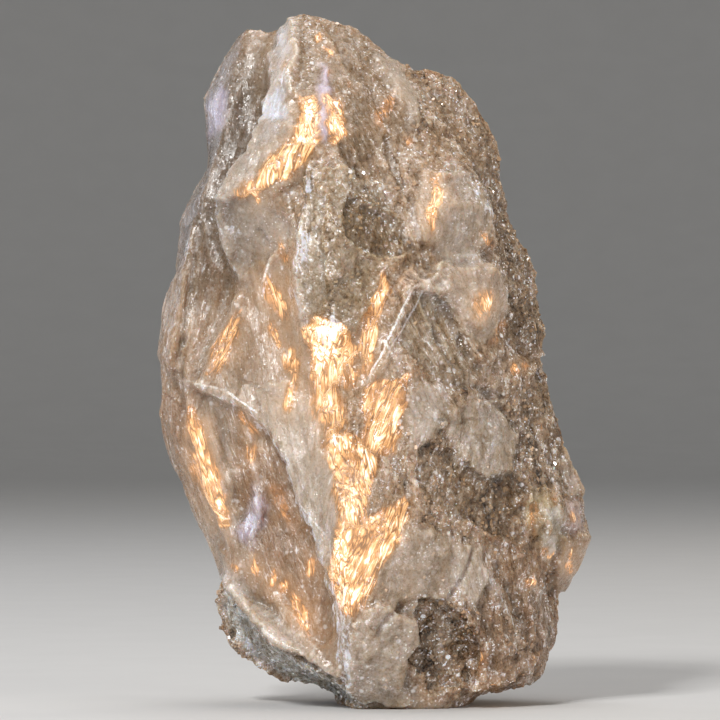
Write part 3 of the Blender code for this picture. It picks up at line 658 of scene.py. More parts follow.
def stone_colours():
    """Return the colours that the user has set."""
    return bpy.context.scene.stone_colours


# ==== shared modelling steps
def pick_only(thing):
    """Select one object and make it the active one."""
    bpy.ops.object.select_all(action="DESELECT")
    thing.select_set(True)
    bpy.context.view_layer.objects.active = thing


def apply_modifier(thing, kind, **settings):
    """Add a modifier with these settings and apply it."""
    pick_only(thing)
    bpy.ops.object.modifier_add(type=kind)
    modifier = thing.modifiers[-1]
    for key, value in settings.items():
        setattr(modifier, key, value)
    bpy.ops.object.modifier_apply(modifier=modifier.name)


def read_all(items, name, width=1, kind=float):
    """Return one property of all items as an array, with a row for each where it is wide."""
    values = np.empty(len(items) * width, dtype=kind)
    items.foreach_get(name, values)
    return values if width == 1 else values.reshape(-1, width)


def points_of(mesh):
    """Return the mesh's points in millimetres."""
    return read_all(mesh.vertices, "co", 3) / MM


def normals_of(mesh):
    """Return the normals of the mesh's points."""
    return read_all(mesh.vertices, "normal", 3)


def smooth_step(low, high, value):
    """Return 0 below low, 1 above high and a smooth slope between them."""
    share = np.clip((value - low) / (high - low), 0.0, 1.0)
    return share * share * (3.0 - 2.0 * share)


def neighbour_means(mesh, values, rounds):
    """Average values over the mesh's neighbours a number of times."""
    starts, ends = read_all(mesh.edges, "vertices", 2, np.int64).T
    count = len(mesh.vertices)
    around = np.bincount(starts, minlength=count) + np.bincount(ends, minlength=count)
    values = np.array(values, dtype=float).reshape(count, -1)
    for _ in range(rounds):
        total = np.empty_like(values)
        for column, one in enumerate(values.T):
            total[:, column] = np.bincount(starts, one[ends], count) + np.bincount(
                ends, one[starts], count)
        values = 0.5 * values + 0.5 * total / around[:, None]
    return values


def relief_of(mesh, rounds=12):
    """Return how far each point stands out of its surroundings, in millimetres."""
    points = points_of(mesh)
    broad = neighbour_means(mesh, points, rounds)
    return ((points - broad) * normals_of(mesh)).sum(axis=1)


def facing_front(mesh, rounds=8):
    """Return 1 where the broad surface faces the front, 0 where it faces the back."""
    broad = neighbour_means(mesh, normals_of(mesh), rounds)
    return smooth_step(-0.35, 0.1, -broad[:, 1])


def fray(points):
    """Return small wandering offsets that make the edges of patches irregular."""
    noise.seed_set(FRAY_SEED)
    offsets = np.zeros_like(points)
    for wave_length, reach in FRAYS:
        wander = [noise.noise_vector(Vector(point)) for point in points / wave_length]
        offsets += reach * np.array(wander)
    return offsets


def turned(points, lean):
    """Return how far across and along a lean the points lie."""
    turn = math.radians(lean)
    across = points[:, 0] * math.cos(turn) - points[:, 2] * math.sin(turn)
    along = points[:, 0] * math.sin(turn) + points[:, 2] * math.cos(turn)
    return across, along


def patch(points, x, z, length, width, lean, softness=0.5):
    """Return how far each point lies inside a leaning oval patch, 1 in its middle."""
    across, along = turned(points - np.array((x, 0.0, z)), lean)
    far = np.hypot(across / (width / 2.0), along / (length / 2.0))
    return smooth_step(1.0 + softness, 1.0 - softness, far)


def line_distance(points, corners):
    """Return each point's distance from a line through corners, seen from the front."""
    nearest = np.full(len(points), np.inf)
    for (x, z), (next_x, next_z) in zip(corners, corners[1:]):
        step_x, step_z = next_x - x, next_z - z
        dx, dz = points[:, 0] - x, points[:, 2] - z
        share = np.clip((dx * step_x + dz * step_z) / (step_x ** 2 + step_z ** 2), 0.0, 1.0)
        nearest = np.minimum(nearest, np.hypot(dx - share * step_x, dz - share * step_z))
    return nearest


def depth_inside(points, corners):
    """Return how deep each point lies inside an outline, less than 0 outside it."""
    closed = [*corners, corners[0]]
    within = np.zeros(len(points), dtype=bool)
    for (x, z), (next_x, next_z) in zip(closed, closed[1:]):
        if z == next_z:
            continue
        beside = (z > points[:, 2]) != (next_z > points[:, 2])
        crossing = x + (next_x - x) * (points[:, 2] - z) / (next_z - z)
        within ^= beside & (points[:, 0] < crossing)
    gap = line_distance(points, closed)
    return np.where(within, gap, -gap)


class Survey:
    """The lump's points and which side each is on, for painting patches."""

    def __init__(self, mesh):
        self.points = points_of(mesh)
        self.front = facing_front(mesh)
        offsets = fray(self.points)
        self.frayed = self.points + offsets
        self.crooked = self.points + LINE_FRAY * offsets

    def sides(self, front, back):
        """Yield each row of both lists with the weight of its side."""
        for rows, weight in ((front, self.front), (back, 1.0 - self.front)):
            for row in rows:
                yield row, weight

    def near(self, corners, reach):
        """Return the numbers of the points within reach of the corners' box."""
        across, up = np.array(corners).T
        x, z = self.frayed[:, 0], self.frayed[:, 2]
        return np.nonzero((x > across.min() - reach) & (x < across.max() + reach)
                          & (z > up.min() - reach) & (z < up.max() + reach))[0]

    def outline_mask(self, corners, weight, soft):
        """Return 1 inside an outline, softened over its edge."""
        mask = np.zeros(len(self.points))
        near = self.near(corners, soft)
        depth = depth_inside(self.frayed[near], corners)
        mask[near] = weight[near] * smooth_step(-soft, soft, depth)
        return mask

    def line_mask(self, corners, weight, width):
        """Return 1 along a line, fading to 0 at its width."""
        mask = np.zeros(len(self.points))
        near = self.near(corners, width)
        gap = line_distance(self.crooked[near], corners)
        mask[near] = weight[near] * smooth_step(width, 0.0, gap)
        return mask

    def strongest(self, front, back, softness=0.5):
        """Return the strongest patch at each point."""
        result = np.zeros(len(self.points))
        for (*oval, strength), weight in self.sides(front, back):
            here = strength * weight * patch(self.frayed, *oval, softness)
            result = np.maximum(result, here)
        return result

    def facets(self, soft):
        """Yield each facet's tone, strength, grain, rise and mask."""
        for (*facet, corners), weight in self.sides(FRONT_FACETS, BACK_FACETS):
            yield *facet, self.outline_mask(corners, weight, soft)

    def lines(self, share=1.0):
        """Yield each line's kind, strength and mask, in a share of its width."""
        for (kind, width, strength, corners), weight in self.sides(FRONT_LINES, BACK_LINES):
            yield kind, strength, self.line_mask(corners, weight, share * width)

    def laid_along(self, masks_and_leans):
        """Return each point's place turned upright by the lean of its strongest patch."""
        best = np.zeros(len(self.points))
        place = self.points.copy()
        for here, lean in masks_and_leans:
            across, along = turned(self.points, lean)
            upright = np.stack([across, self.points[:, 1], along], axis=1)
            place[here > best] = upright[here > best]
            best = np.maximum(best, here)
        return place

    def strand_masks(self):
        """Yield the mask and lean of each patch of strands."""
        for (*oval, strength), weight in self.sides(FRONT_STRANDS, BACK_STRANDS):
            yield strength * weight * patch(self.points, *oval, 0.9), oval[-1]

    def flash_masks(self):
        """Yield the mask, glow, lean and heat of each flash."""
        for (lean, heat, strength, corners), weight in self.sides(
                FRONT_FLASH_OUTLINES, BACK_FLASH_OUTLINES):
            yield (strength * self.outline_mask(corners, weight, FLASH_EDGE),
                   strength * self.outline_mask(corners, weight, GLOW_EDGE), lean, heat)
        for (x, z, length, width, lean, heat, strength), weight in self.sides(
                FRONT_FLASHES, BACK_FLASHES):
            tight = patch(self.frayed, x, z, length, width, lean, 0.7)
            reach = GLOW_REACH + width
            wide = patch(self.frayed, x, z, length + reach, width + reach, lean, 1.0)
            yield strength * weight * tight, strength * weight * wide, lean, heat

    def flashes(self):
        """Return each point's flash, heat, soft glow and place along the flash."""
        flash, glow, heat = np.zeros((3, len(self.points)))
        weights = np.full(len(self.points), 1e-6)
        masks = list(self.flash_masks())
        for tight, wide, lean, hot in masks:
            flash = np.maximum(flash, tight)
            glow = np.clip(wide, glow, GLOW_LIMIT)
            heat += hot * wide ** 2
            weights += wide ** 2
        place = self.laid_along((wide, lean) for tight, wide, lean, hot in masks)
        return flash, heat / weights, glow, place

    def heights(self):
        """Return how far the facets and lines stand out or lie back, in millimetres."""
        height = np.zeros(len(self.points))
        for tone, strength, grain, rise, mask in self.facets(0.45):
            height += mask * (rise - height)
        for kind, strength, mask in self.lines():
            height += LINE_HEIGHTS[kind] * strength * mask
        return np.clip(height, -HIGHEST, HIGHEST)

    def sheen(self):
        """Return the strength of the painted cleavage sheen, which also runs along the ridges."""
        sheen = self.strongest(FRONT_SHEENS, BACK_SHEENS, 0.6)
        for kind, strength, mask in self.lines(RIDGE_WIDTH):
            if kind == "ridge":
                sheen = np.maximum(sheen, RIDGE_SHEEN * strength * mask)
        return sheen

    def grain(self):
        """Return how granular each point is, from 0 where it is smooth."""
        grain = LEAST_GRAIN + self.strongest(FRONT_GRAINS, BACK_GRAINS, 0.6)
        for tone, strength, own, rise, mask in self.facets(0.8):
            grain += mask * (own - grain)
        return grain

    def tint(self, relief):
        """Return the stone's colour at each point, with painted highlights on ridges and raised
        places and painted shade in grooves, cracks and sunken places.
        """
        colours = stone_colours()
        tint = np.tile(np.array(colours.beige), (len(self.points), 1))

        def lay(mask, colour):
            nonlocal tint
            tint = tint + mask[:, None] * (np.array(colour) - tint)

        for (*oval, tone, strength), weight in self.sides(FRONT_TONES, BACK_TONES):
            lay(strength * weight * patch(self.frayed, *oval, 0.6), getattr(colours, tone))
        for tone, strength, grain, rise, mask in self.facets(0.9):
            lay(strength * mask, getattr(colours, tone))
        # ridges take a painted highlight, grooves and cracks a painted shade
        for kind, strength, mask in self.lines():
            lay(LINE_TINT * strength * mask, colours.frost if kind == "ridge" else colours.crack)
        # painted shade where the surface lies deep, and a painted highlight where it stands out
        lay(0.6 * smooth_step(0.08, 0.8, -relief), colours.crack)
        lay(0.3 * smooth_step(0.15, 0.9, relief), colours.frost)
        return tint


ATTRIBUTE_KINDS = {
    1: ("FLOAT", "value"), 3: ("FLOAT_VECTOR", "vector"), 4: ("FLOAT_COLOR", "color")}


def keep(mesh, name, values):
    """Keep a number, a place or a colour with its alpha for each point."""
    kind, field = ATTRIBUTE_KINDS[values.size // len(values)]
    mesh.attributes.new(name, kind, "POINT").data.foreach_set(field, values.ravel())


def with_alpha(colours):
    """Return rows of colours with an alpha of 1."""
    return np.column_stack([colours, np.ones(len(colours))])


def weight_group(thing, name, weights):
    """Make a vertex group from an array of weights, in even steps."""
    group = thing.vertex_groups.new(name=name)
    steps = np.round(np.clip(weights, 0.0, 1.0) * WEIGHT_STEPS).astype(int)
    for step in range(1, WEIGHT_STEPS + 1):
        members = np.nonzero(steps == step)[0].tolist()
        if members:
            group.add(members, step / WEIGHT_STEPS, "REPLACE")


# ==== shader helpers
def sum_method(operation, swapped=False):
    """Return a method that works out one sum on a value, written second where swapped."""

    def method(self, other=None):
        first, second = (other, self) if swapped else (self, other)
        return work_out(self.tree, operation, first, second)

    return method


class Value:
    """A number, colour or vector in a node tree, worked with like a plain number."""

    def __init__(self, tree, socket):
        self.tree = tree
        self.socket = socket

    __add__ = sum_method("ADD")
    __radd__ = sum_method("ADD")
    __sub__ = sum_method("SUBTRACT")
    __rsub__ = sum_method("SUBTRACT", swapped=True)
    __mul__ = sum_method("MULTIPLY")
    __rmul__ = sum_method("MULTIPLY")
    __truediv__ = sum_method("DIVIDE")
    __rtruediv__ = sum_method("DIVIDE", swapped=True)
    __pow__ = sum_method("POWER")
    __abs__ = sum_method("ABSOLUTE")

    def clamped(self):
        """Keep this sum's result between 0 and 1."""
        self.socket.node.use_clamp = True
        return self


def is_vector(value):
    """Return whether a value is a vector or a colour."""
    if isinstance(value, Value):
        return value.socket.type != "VALUE"
    return isinstance(value, tuple)


def feed(tree, socket, value):
    """Link a value to a socket, or set the socket to a plain number or colour."""
    if isinstance(value, Value):
        tree.links.new(value.socket, socket)
    else:
        socket.default_value = value


def outputs_of(tree, node):
    """Return a node's outputs, by number and by name."""
    outputs = {}
    for number, socket in enumerate(node.outputs):
        outputs[number] = Value(tree, socket)
        outputs.setdefault(socket.name, outputs[number])
    return outputs


def add_node(tree, kind, inputs, **settings):
    """Add a node and return its outputs."""
    node = tree.nodes.new("ShaderNode" + kind)
    for key, value in settings.items():
        setattr(node, key, value)
    for key, value in inputs.items():
        feed(tree, node.inputs[key], value)
    return outputs_of(tree, node)


def work_out(tree, operation, first, second=None):
    """Return the result of one sum on numbers or on vectors."""
    if is_vector(second) and not is_vector(first):
        first, second = second, first
    inputs = {0: first}
    if operation == "MULTIPLY" and is_vector(first) and not is_vector(second):
        operation = "SCALE"
        inputs["Scale"] = second
    elif second is not None:
        inputs[1] = second
    kind = "VectorMath" if is_vector(first) else "Math"
    return add_node(tree, kind, inputs, operation=operation)[0]


def larger(first, second):
    """Return the larger of two numbers."""
    return work_out(first.tree, "MAXIMUM", first, second)


def dot(first, second):
    """Return the dot product of two vectors."""
    return add_node(
        first.tree, "VectorMath", {0: first, 1: second}, operation="DOT_PRODUCT")["Value"]


def ramp(value, low, high, to_low=0.0, to_high=1.0):
    """Return value spread smoothly from low..high to to_low..to_high."""
    return add_node(
        value.tree, "MapRange",
        {"Value": value, "From Min": low, "From Max": high, "To Min": to_low, "To Max": to_high},
        interpolation_type="SMOOTHSTEP")["Result"]


def blend(factor, first, second, mode="MIX"):
    """Return two colours mixed."""
    tree = next(value.tree for value in (factor, first) if isinstance(value, Value))
    return add_node(
        tree, "Mix", {0: factor, 6: first, 7: second},
        data_type="RGBA", blend_type=mode, clamp_factor=True)[2]


def cloudy(place, scale, detail=2.0, roughness=0.5, distortion=0.0):
    """Return the outputs of a cloudy pattern."""
    return add_node(place.tree, "TexNoise", {
        "Vector": place, "Scale": scale, "Detail": detail, "Roughness": roughness,
        "Distortion": distortion})


def cells(place, scale, feature="F1"):
    """Return the outputs of a pattern of cells."""
    return add_node(place.tree, "TexVoronoi", {"Vector": place, "Scale": scale}, feature=feature)


def cell_edges(place, scale):
    """Return the distance from the nearest edge between cells."""
    return cells(place, scale, "DISTANCE_TO_EDGE")["Distance"]


def object_place(tree):
    """Return the place on the object, in millimetres."""
    return add_node(tree, "TexCoord", {})["Object"] * (1.0 / MM)


def rgba(colour):
    """Return a colour with its alpha."""
    return (*colour, 1.0)


def new_material(name):
    """Make a material and return it with its node tree."""
    material = bpy.data.materials.new(name)
    material.use_nodes = True
    return material, material.node_tree


def finish_material(material, inputs):
    """Set the shader's inputs and return the material; its glow is not sampled as a lamp."""
    tree = material.node_tree
    for key, value in inputs.items():
        feed(tree, tree.nodes["Principled BSDF"].inputs[key], value)
    material.cycles.emission_sampling = "NONE"
    return material


# ==== effects of the stone, each a node group
MIDDLE = (0.5, 0.5, 0.5)


def node_group(name, draw, **inputs):
    """Make a shader node group whose outputs draw works out from its inputs."""
    group = bpy.data.node_groups.new(name, "ShaderNodeTree")
    for label, kind in inputs.items():
        group.interface.new_socket(label, in_out="INPUT", socket_type="NodeSocket" + kind)
    start = outputs_of(group, group.nodes.new("NodeGroupInput"))
    results = draw(*(start[label] for label in inputs))
    for label, value in results.items():
        kind = "Vector" if is_vector(value) else "Float"
        group.interface.new_socket(label, in_out="OUTPUT", socket_type="NodeSocket" + kind)
    end = group.nodes.new("NodeGroupOutput")
    for label, value in results.items():
        feed(group, end.inputs[label], value)
    return group


def grains(place, size):
    """Paint single grains: their tone, painted glints, tilt and height."""
    scale = 1.0 / size
    grain = cells(place, scale)
    shade = add_node(place.tree, "SeparateColor", {"Color": grain["Color"]})
    chosen = ramp(shade["Green"], 0.82, 0.96)
    fine = cloudy(place, scale * 0.9, detail=3.0, roughness=0.7)["Fac"]
    return {
        "Tone": shade["Red"] * 0.5 + ramp(fine, 0.3, 0.7) * 0.5,
        "Cool": shade["Blue"],
        "Glint": chosen * ramp(grain["Distance"], 0.5, 0.2),
        "Tilt": grain["Color"] - MIDDLE,
        "Height": ramp(grain["Distance"], 0.6, 0.0) + fine * 0.6,
    }


def drawn_out(place, stretch):
    """Return upright coordinates drawn out along their length."""
    return place * (1.0, 1.0, 1.0 / stretch)


def strands(place):
    """Draw fine strands along the stone's own lay, with streaks that carry painted glints."""
    along = drawn_out(place, 6.0)
    coarse = cloudy(along, 1.0, detail=4.0, roughness=0.7, distortion=0.4)["Fac"]
    fine = cloudy(along, 3.6, detail=1.0, roughness=0.6)["Fac"]
    return {
        "Tone": ramp(coarse, 0.32, 0.68),
        "Streak": ramp(fine, 0.58, 0.7) * ramp(coarse, 0.5, 0.62),
    }


def crisp_edge(place, begin, run, width):
    """Draw one crisp straight edge as a painted highlight, seen from the front."""
    gone = (place - begin) * (1.0, 0.0, 1.0)
    share = (dot(gone, run) / dot(run, run)).clamped()
    away = gone - run * share
    gap = add_node(place.tree, "VectorMath", {0: away}, operation="LENGTH")["Value"]
    steepness = 1.6
    near = (steepness - gap * steepness / width).clamped()
    return {"Light": near * ramp(abs(share - 0.5), 0.5, 0.35)}


def flash_crinkles(place, strength, heat):
    """Break a flash into bright crinkles and dark veins."""
    along = drawn_out(place, 6.0)
    sway = cloudy(along, 0.45)
    swayed = along + (sway["Color"] - MIDDLE) * 4.0
    calm = ramp(strength * heat, 0.75, 1.25)
    vein = ramp(cell_edges(swayed, 0.9), 0.01, 0.12, 0.32 + calm * 0.55, 1.0)
    threads = cloudy(drawn_out(swayed, 2.5), 3.0, roughness=0.6)["Fac"]
    thread = ramp(threads, 0.36, 0.54, 0.66 - calm * 0.3, 1.12)
    folds = cloudy(swayed, 1.1, roughness=0.6)["Fac"]
    whole = ramp(folds, 0.45, 0.62, 0.0, 0.75)
    crest = ramp(abs(folds - 0.5), 0.14, 0.0) ** 1.5
    broad = cloudy(place, 0.3)["Fac"]
    uneven = ramp(sway["Fac"], 0.3, 0.7, 0.75, 1.2) * ramp(broad, 0.35, 0.65, 0.72, 1.3)
    body = strength * (0.38 + heat * 0.52)
    lines = crest * 0.38 * ramp(strength, 0.1, 0.9)
    light = (body + lines) * (larger(vein, whole) * thread * uneven)
    return {"Light": light * ramp(strength + (folds - 0.5) * 1.4, 0.05, 0.6)}


GRAINS = node_group("grains", grains, Place="Vector", Size="Float")
STRANDS = node_group("strands", strands, Place="Vector")
EDGE = node_group(
    "crisp edge", crisp_edge, Place="Vector", Start="Vector", Run="Vector", Width="Float")
FLASH = node_group(
    "flash crinkles", flash_crinkles, Place="Vector", Strength="Float", Heat="Float")

# strength of the painted light in a flash: its colour
HEAT_STOPS = {
    0.0: (0.0, 0.0, 0.0),
    0.12: (0.12, 0.045, 0.012),
    0.28: (0.45, 0.19, 0.065),
    0.44: (0.88, 0.47, 0.18),
    0.59: (1.0, 0.74, 0.4),
    0.78: (1.15, 1.07, 0.9),
    1.0: (1.25, 1.27, 1.35),
}


def heat_colour(light):
    """Return the colour of a flash's light, from dark orange to bluish white."""
    fire = add_node(light.tree, "ValToRGB", {"Fac": light})["Color"]
    stops = fire.socket.node.color_ramp.elements
    while len(stops) < len(HEAT_STOPS):
        stops.new(0.5)
    for stop, (position, colour) in zip(stops, HEAT_STOPS.items()):
        stop.position = position
        stop.color = rgba(colour)
    return fire


def stone_material(name):
    """Waxy translucent stone with grains and strands, painted cleavage sheen and glints, and inner
    flashes painted as glow.
    """
    colours = stone_colours()
    material, tree = new_material(name)
    place = object_place(tree)

    def kept(attribute, output="Fac"):
        return add_node(tree, "Attribute", {}, attribute_name=attribute)[output]

    def painted(group, **inputs):
        return add_node(tree, "Group", inputs, node_tree=group)

    strand, flash, heat, glow = kept("strand"), kept("flash"), kept("heat"), kept("glow")
    grain, sheen = kept("grain"), kept("sheen")

    # tones, broken up by clouds
    clouds = cloudy(place, 0.22, detail=5.0, roughness=0.65)
    colour = kept("tint", "Color")
    lightness = work_out(tree, "MINIMUM", dot(colour, (1.1, 1.1, 1.1)), 1.0)
    cloud = ramp(clouds["Fac"], 0.3, 0.7, 0.0, 0.38) * lightness
    colour = blend(cloud, colour, rgba(colours.pale))

    # strands
    lay = painted(STRANDS, Place=kept("strand_place", "Vector"))
    strand_tone = (lay["Tone"] - 0.5) * strand
    shade = 1.0 + strand_tone * 0.65

    # grains of several sizes, some warm and some cool, with painted shade in the gaps between them
    wander = clouds["Color"] - MIDDLE
    bent = place + wander * 3.0
    small = painted(GRAINS, Place=place, Size=0.36)
    large = painted(GRAINS, Place=place, Size=1.0)
    plates = painted(GRAINS, Place=place * (1.0, 1.0, 0.6), Size=2.3)
    slabs = painted(GRAINS, Place=bent * (1.0, 1.0, 0.55), Size=4.5)
    contrast = 0.07 + grain * 0.64
    speckle = (small["Tone"] - 0.5) * 0.75
    for layer, share in ((large, 1.0), (plates, 1.3), (slabs, 0.8)):
        speckle += (layer["Tone"] - 0.5) * share
    gaps = ramp(large["Height"], 0.75, 0.25) * -0.3
    shade += (speckle + gaps) * contrast
    hue = blend(small["Cool"], (1.14, 0.98, 0.82, 1.0), (0.96, 1.0, 1.08, 1.0))
    colour = blend(contrast * 0.9, colour, blend(1.0, colour, hue, "MULTIPLY"))
    shade = larger(shade * ramp(flash, 0.1, 0.8, 1.0, 0.42), 0.1)
    shades = add_node(tree, "CombineXYZ", {"X": shade, "Y": shade ** 1.2, "Z": shade ** 1.6})[0]
    colour = blend(1.0, colour, shades, "MULTIPLY")

    # painted sheen: a paler bluish colour where the cleavage would reflect
    broken_sheen = sheen + ((lay["Tone"] - 0.5) * 1.1 + (small["Tone"] - 0.5) * 0.6)
    sheen_light = ramp(broken_sheen, 0.55, 1.1) * ramp(sheen, 0.05, 0.5, 0.0, 0.85)
    colour = blend(sheen_light, colour, rgba(colours.lilac))

    # painted glints and highlights: grains, rims of slabs, streaks and crisp edges, all blended
    # towards the spark colour
    clusters = ramp(plates["Tone"] + clouds["Fac"], 0.7, 1.3)
    glint = (small["Glint"] + large["Glint"] * 0.6) * clusters * (0.5 + grain * 0.8)
    rim = ramp(cell_edges(bent, 0.75), 0.06, 0.02)
    rim *= ramp(small["Tone"] + large["Tone"], 1.02, 1.35)
    rim *= ramp(clusters, 0.2, 0.8)
    rim *= ramp(grain, 0.1, 0.8, 0.12, 0.65)
    glint = (glint + rim + lay["Streak"] * strand * 0.6).clamped()
    front = ramp(dot(place, (0.0, -1.0, 0.0)), 2.0, 6.0)
    seen = front * ramp(small["Tone"], 0.25, 0.65, 0.45, 1.0)
    wandering = place + wander * 1.2
    for width, strength, (x, z), (end_x, end_z) in CRISP_EDGES:
        edge = painted(EDGE, Place=wandering, Start=(x, 0.0, z), Width=width,
                       Run=(end_x - x, 0.0, end_z - z))["Light"]
        glint = larger(glint, edge * (seen * strength))
    colour = blend(glint, colour, rgba(colours.spark))

    # painted light given off as emission: the flashes, the glow round them and the glow of the
    # painted sheen and glints
    flash_place = kept("flash_place", "Vector")
    light = painted(FLASH, Place=flash_place, Strength=flash, Heat=heat)["Light"]
    halo = glow ** 1.7 * ramp(grain, 0.0, 0.9, 0.21, 0.12) * (0.95, 0.54, 0.28)
    frost = (sheen_light * 0.12 + glint * 0.45) * tuple(colours.lilac)
    emission = heat_colour((light * 0.8).clamped()) + halo + frost

    # fine relief
    bumps = small["Height"] * (contrast * 0.05) + large["Height"] * (contrast * 0.14)
    bumps += strand_tone * 0.22
    tilt = small["Tilt"] * (contrast * 0.5)
    for layer, share in (
            (large, contrast * 0.45), (slabs, 0.4), (plates, 0.2 + contrast * 0.5)):
        tilt += layer["Tilt"] * share
    bump = add_node(tree, "Bump", {"Strength": 1.0, "Distance": MM, "Height": bumps})[0]
    return finish_material(material, {
        "Base Color": colour,
        "Emission Color": emission,
        "Emission Strength": 1.0,
        "Roughness": ramp(small["Tone"] + sheen * -0.4, 0.1, 0.9, 0.17, 0.46),
        "Normal": work_out(tree, "NORMALIZE", bump + tilt),
        "Coat Weight": ramp(grain, 0.1, 0.7, 0.25, 0.0),
        "Coat Roughness": 0.3,
        "Subsurface Weight": 0.75,
        "Subsurface Radius": (1.0, 0.62, 0.38),
        "Subsurface Scale": 4.5 * MM,
        "IOR": 1.7,
    })


# ==== the lump
def displace(thing, zone, kind, size, stretch, lean, height, middle, **settings):
    """Push the surface out by one procedural texture inside a vertex group."""
    bpy.ops.object.empty_add(type="PLAIN_AXES", rotation=(0.0, math.radians(lean), 0.0))
    guide = bpy.context.object
    guide.scale = (MM, MM, MM * stretch)
    bpy.context.view_layer.update()
    texture = bpy.data.textures.new(zone, kind)
    texture.noise_scale = size
    for key, value in settings.items():
        setattr(texture, key, value)
    apply_modifier(
        thing, "DISPLACE", texture=texture, texture_coords="OBJECT",
        texture_coords_object=guide, vertex_group=zone, strength=height, mid_level=middle)
    bpy.data.objects.remove(guide)


def bring_out_ridges(mesh, above, share):
    """Raise ridges and deepen grooves above the foot by a share of their relief."""
    relief = above * np.clip(relief_of(mesh, rounds=20), -1.0, 1.0)
    points = points_of(mesh) + normals_of(mesh) * relief[:, None] * share
    mesh.vertices.foreach_set("co", (points * MM).ravel())
    mesh.update()


class OBJECT_OT_stone_lump(bpy.types.Operator):
    """Model the stone from the CAD lump: its grains, strands, folds and finish"""

    bl_idname = "object.stone_lump"
    bl_label = "Stone Lump"

    def execute(self, context):
        lump = self.copy_of_node(context)
        mesh = lump.data
        survey = Survey(mesh)
        grain = survey.grain()
        above = (survey.points[:, 2] > FOOT_EDGE).astype(float)
        height = survey.heights() / HIGHEST
        zones = {
            "worn": 1.0 - smooth_step(0.2, 0.6, np.abs(relief_of(mesh))),
            "creases": survey.strongest(FRONT_WORN, []),
            "raised": height,
            "sunk": -height,
            "grainy": grain,
            "everywhere": 0.4 + 0.6 * smooth_step(0.1, 0.6, grain),
        }
        for lean, (front, back) in STRAND_LEANS.items():
            zones[lean] = survey.strongest(front, back, 0.6)
        for zone, weights in zones.items():
            weight_group(lump, zone, above * weights)
        for zone, rounds in (("worn", 5), ("creases", 40)):
            apply_modifier(lump, "SMOOTH", factor=0.5, iterations=rounds, vertex_group=zone)
        for zone, rise in (("raised", HIGHEST * MM), ("sunk", -HIGHEST * MM)):
            apply_modifier(lump, "DISPLACE", strength=rise, mid_level=0.0, vertex_group=zone)
        bring_out_ridges(mesh, above, share=0.5)
        self.roughen(lump)
        pick_only(lump)
        bpy.ops.object.vertex_group_remove(all=True)
        self.paint(mesh, survey, grain)
        mesh.materials.clear()
        mesh.materials.append(stone_material("sphalerite"))
        pick_only(lump)
        bpy.ops.object.shade_smooth()
        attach(lump, "root")
        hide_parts(NODE)
        return {"FINISHED"}

    def copy_of_node(self, context):
        """Copy the CAD lump, merge its triangles and give it a fine even mesh."""
        pick_only(frame["nodes"][NODE])
        bpy.ops.object.duplicate()
        lump = context.object
        lump.name = "stone_lump"
        lump.parent = None
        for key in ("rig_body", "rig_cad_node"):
            if key in lump:
                del lump[key]
        pick_only(lump)
        bpy.ops.object.mode_set(mode="EDIT")
        bpy.ops.mesh.select_all(action="SELECT")
        bpy.ops.mesh.remove_doubles(threshold=0.01 * MM)
        bpy.ops.mesh.normals_make_consistent(inside=False)
        bpy.ops.object.mode_set(mode="OBJECT")
        apply_modifier(lump, "REMESH", mode="VOXEL", voxel_size=stone_sizes().mesh_width)
        return lump

    def roughen(self, lump):
        """Push plates, swells, strands and grains out of the surface, the coarse ones first."""
        grain, strand = stone_sizes().grain_height, stone_sizes().strand_height
        plates = {"weight_1": -1.0, "weight_2": 1.0, "noise_intensity": 1.3}
        # zone, texture, width, stretch along the lean, lean, height, level that stays in place
        displace(lump, "everywhere", "VORONOI", 5.5, 1.8, -14.0, 0.8 * MM, 0.25, **plates)
        displace(lump, "everywhere", "CLOUDS", 2.6, 1.4, 10.0, 0.5 * MM, 0.5, noise_depth=3)
        for lean in STRAND_LEANS:
            displace(lump, lean, "CLOUDS", 1.3, 6.0, float(lean), 2.4 * strand, 0.5, noise_depth=2)
        displace(lump, "grainy", "VORONOI", 3.2, 1.4, 12.0, 0.95 * MM, 0.3, **plates)
        displace(lump, "grainy", "VORONOI", 1.6, 1.2, 0.0, 1.6 * grain, 0.3, **plates)
        displace(lump, "grainy", "CLOUDS", 0.9, 1.0, 20.0, 1.2 * grain, 0.5, noise_depth=2)

    def paint(self, mesh, survey, grain):
        """Keep on each point what the material reads."""
        relief = neighbour_means(mesh, relief_of(mesh), 1).ravel()
        flash, heat, glow, flash_place = survey.flashes()
        kept = {
            "tint": with_alpha(survey.tint(relief)),
            "grain": grain,
            "strand": survey.strongest(FRONT_STRANDS, BACK_STRANDS, 0.6),
            "strand_place": survey.laid_along(survey.strand_masks()),
            "flash": flash,
            "flash_place": flash_place,
            "heat": heat,
            "glow": glow,
            "sheen": survey.sheen(),
        }
        for name, values in kept.items():
            keep(mesh, name, values)


# ==== crystals of the crust
def crystal_material(name):
    """Small glassy crystals in the tones painted on the stone beneath them; a few glow with a
    painted glint.
    """
    material, tree = new_material(name)
    tint = add_node(tree, "Attribute", {}, attribute_name="tint")["Color"]
    spark = add_node(tree, "Attribute", {}, attribute_name="spark")["Fac"]
    clouds = cloudy(object_place(tree), 1.6)["Fac"]
    return finish_material(material, {
        "Base Color": blend(
            ramp(clouds, 0.35, 0.7, 0.0, 0.5), tint, rgba(stone_colours().brown)),
        "Emission Color": tint * (spark * 0.5),
        "Emission Strength": 1.0,
        "Roughness": 0.12,
        "IOR": 2.0,
    })


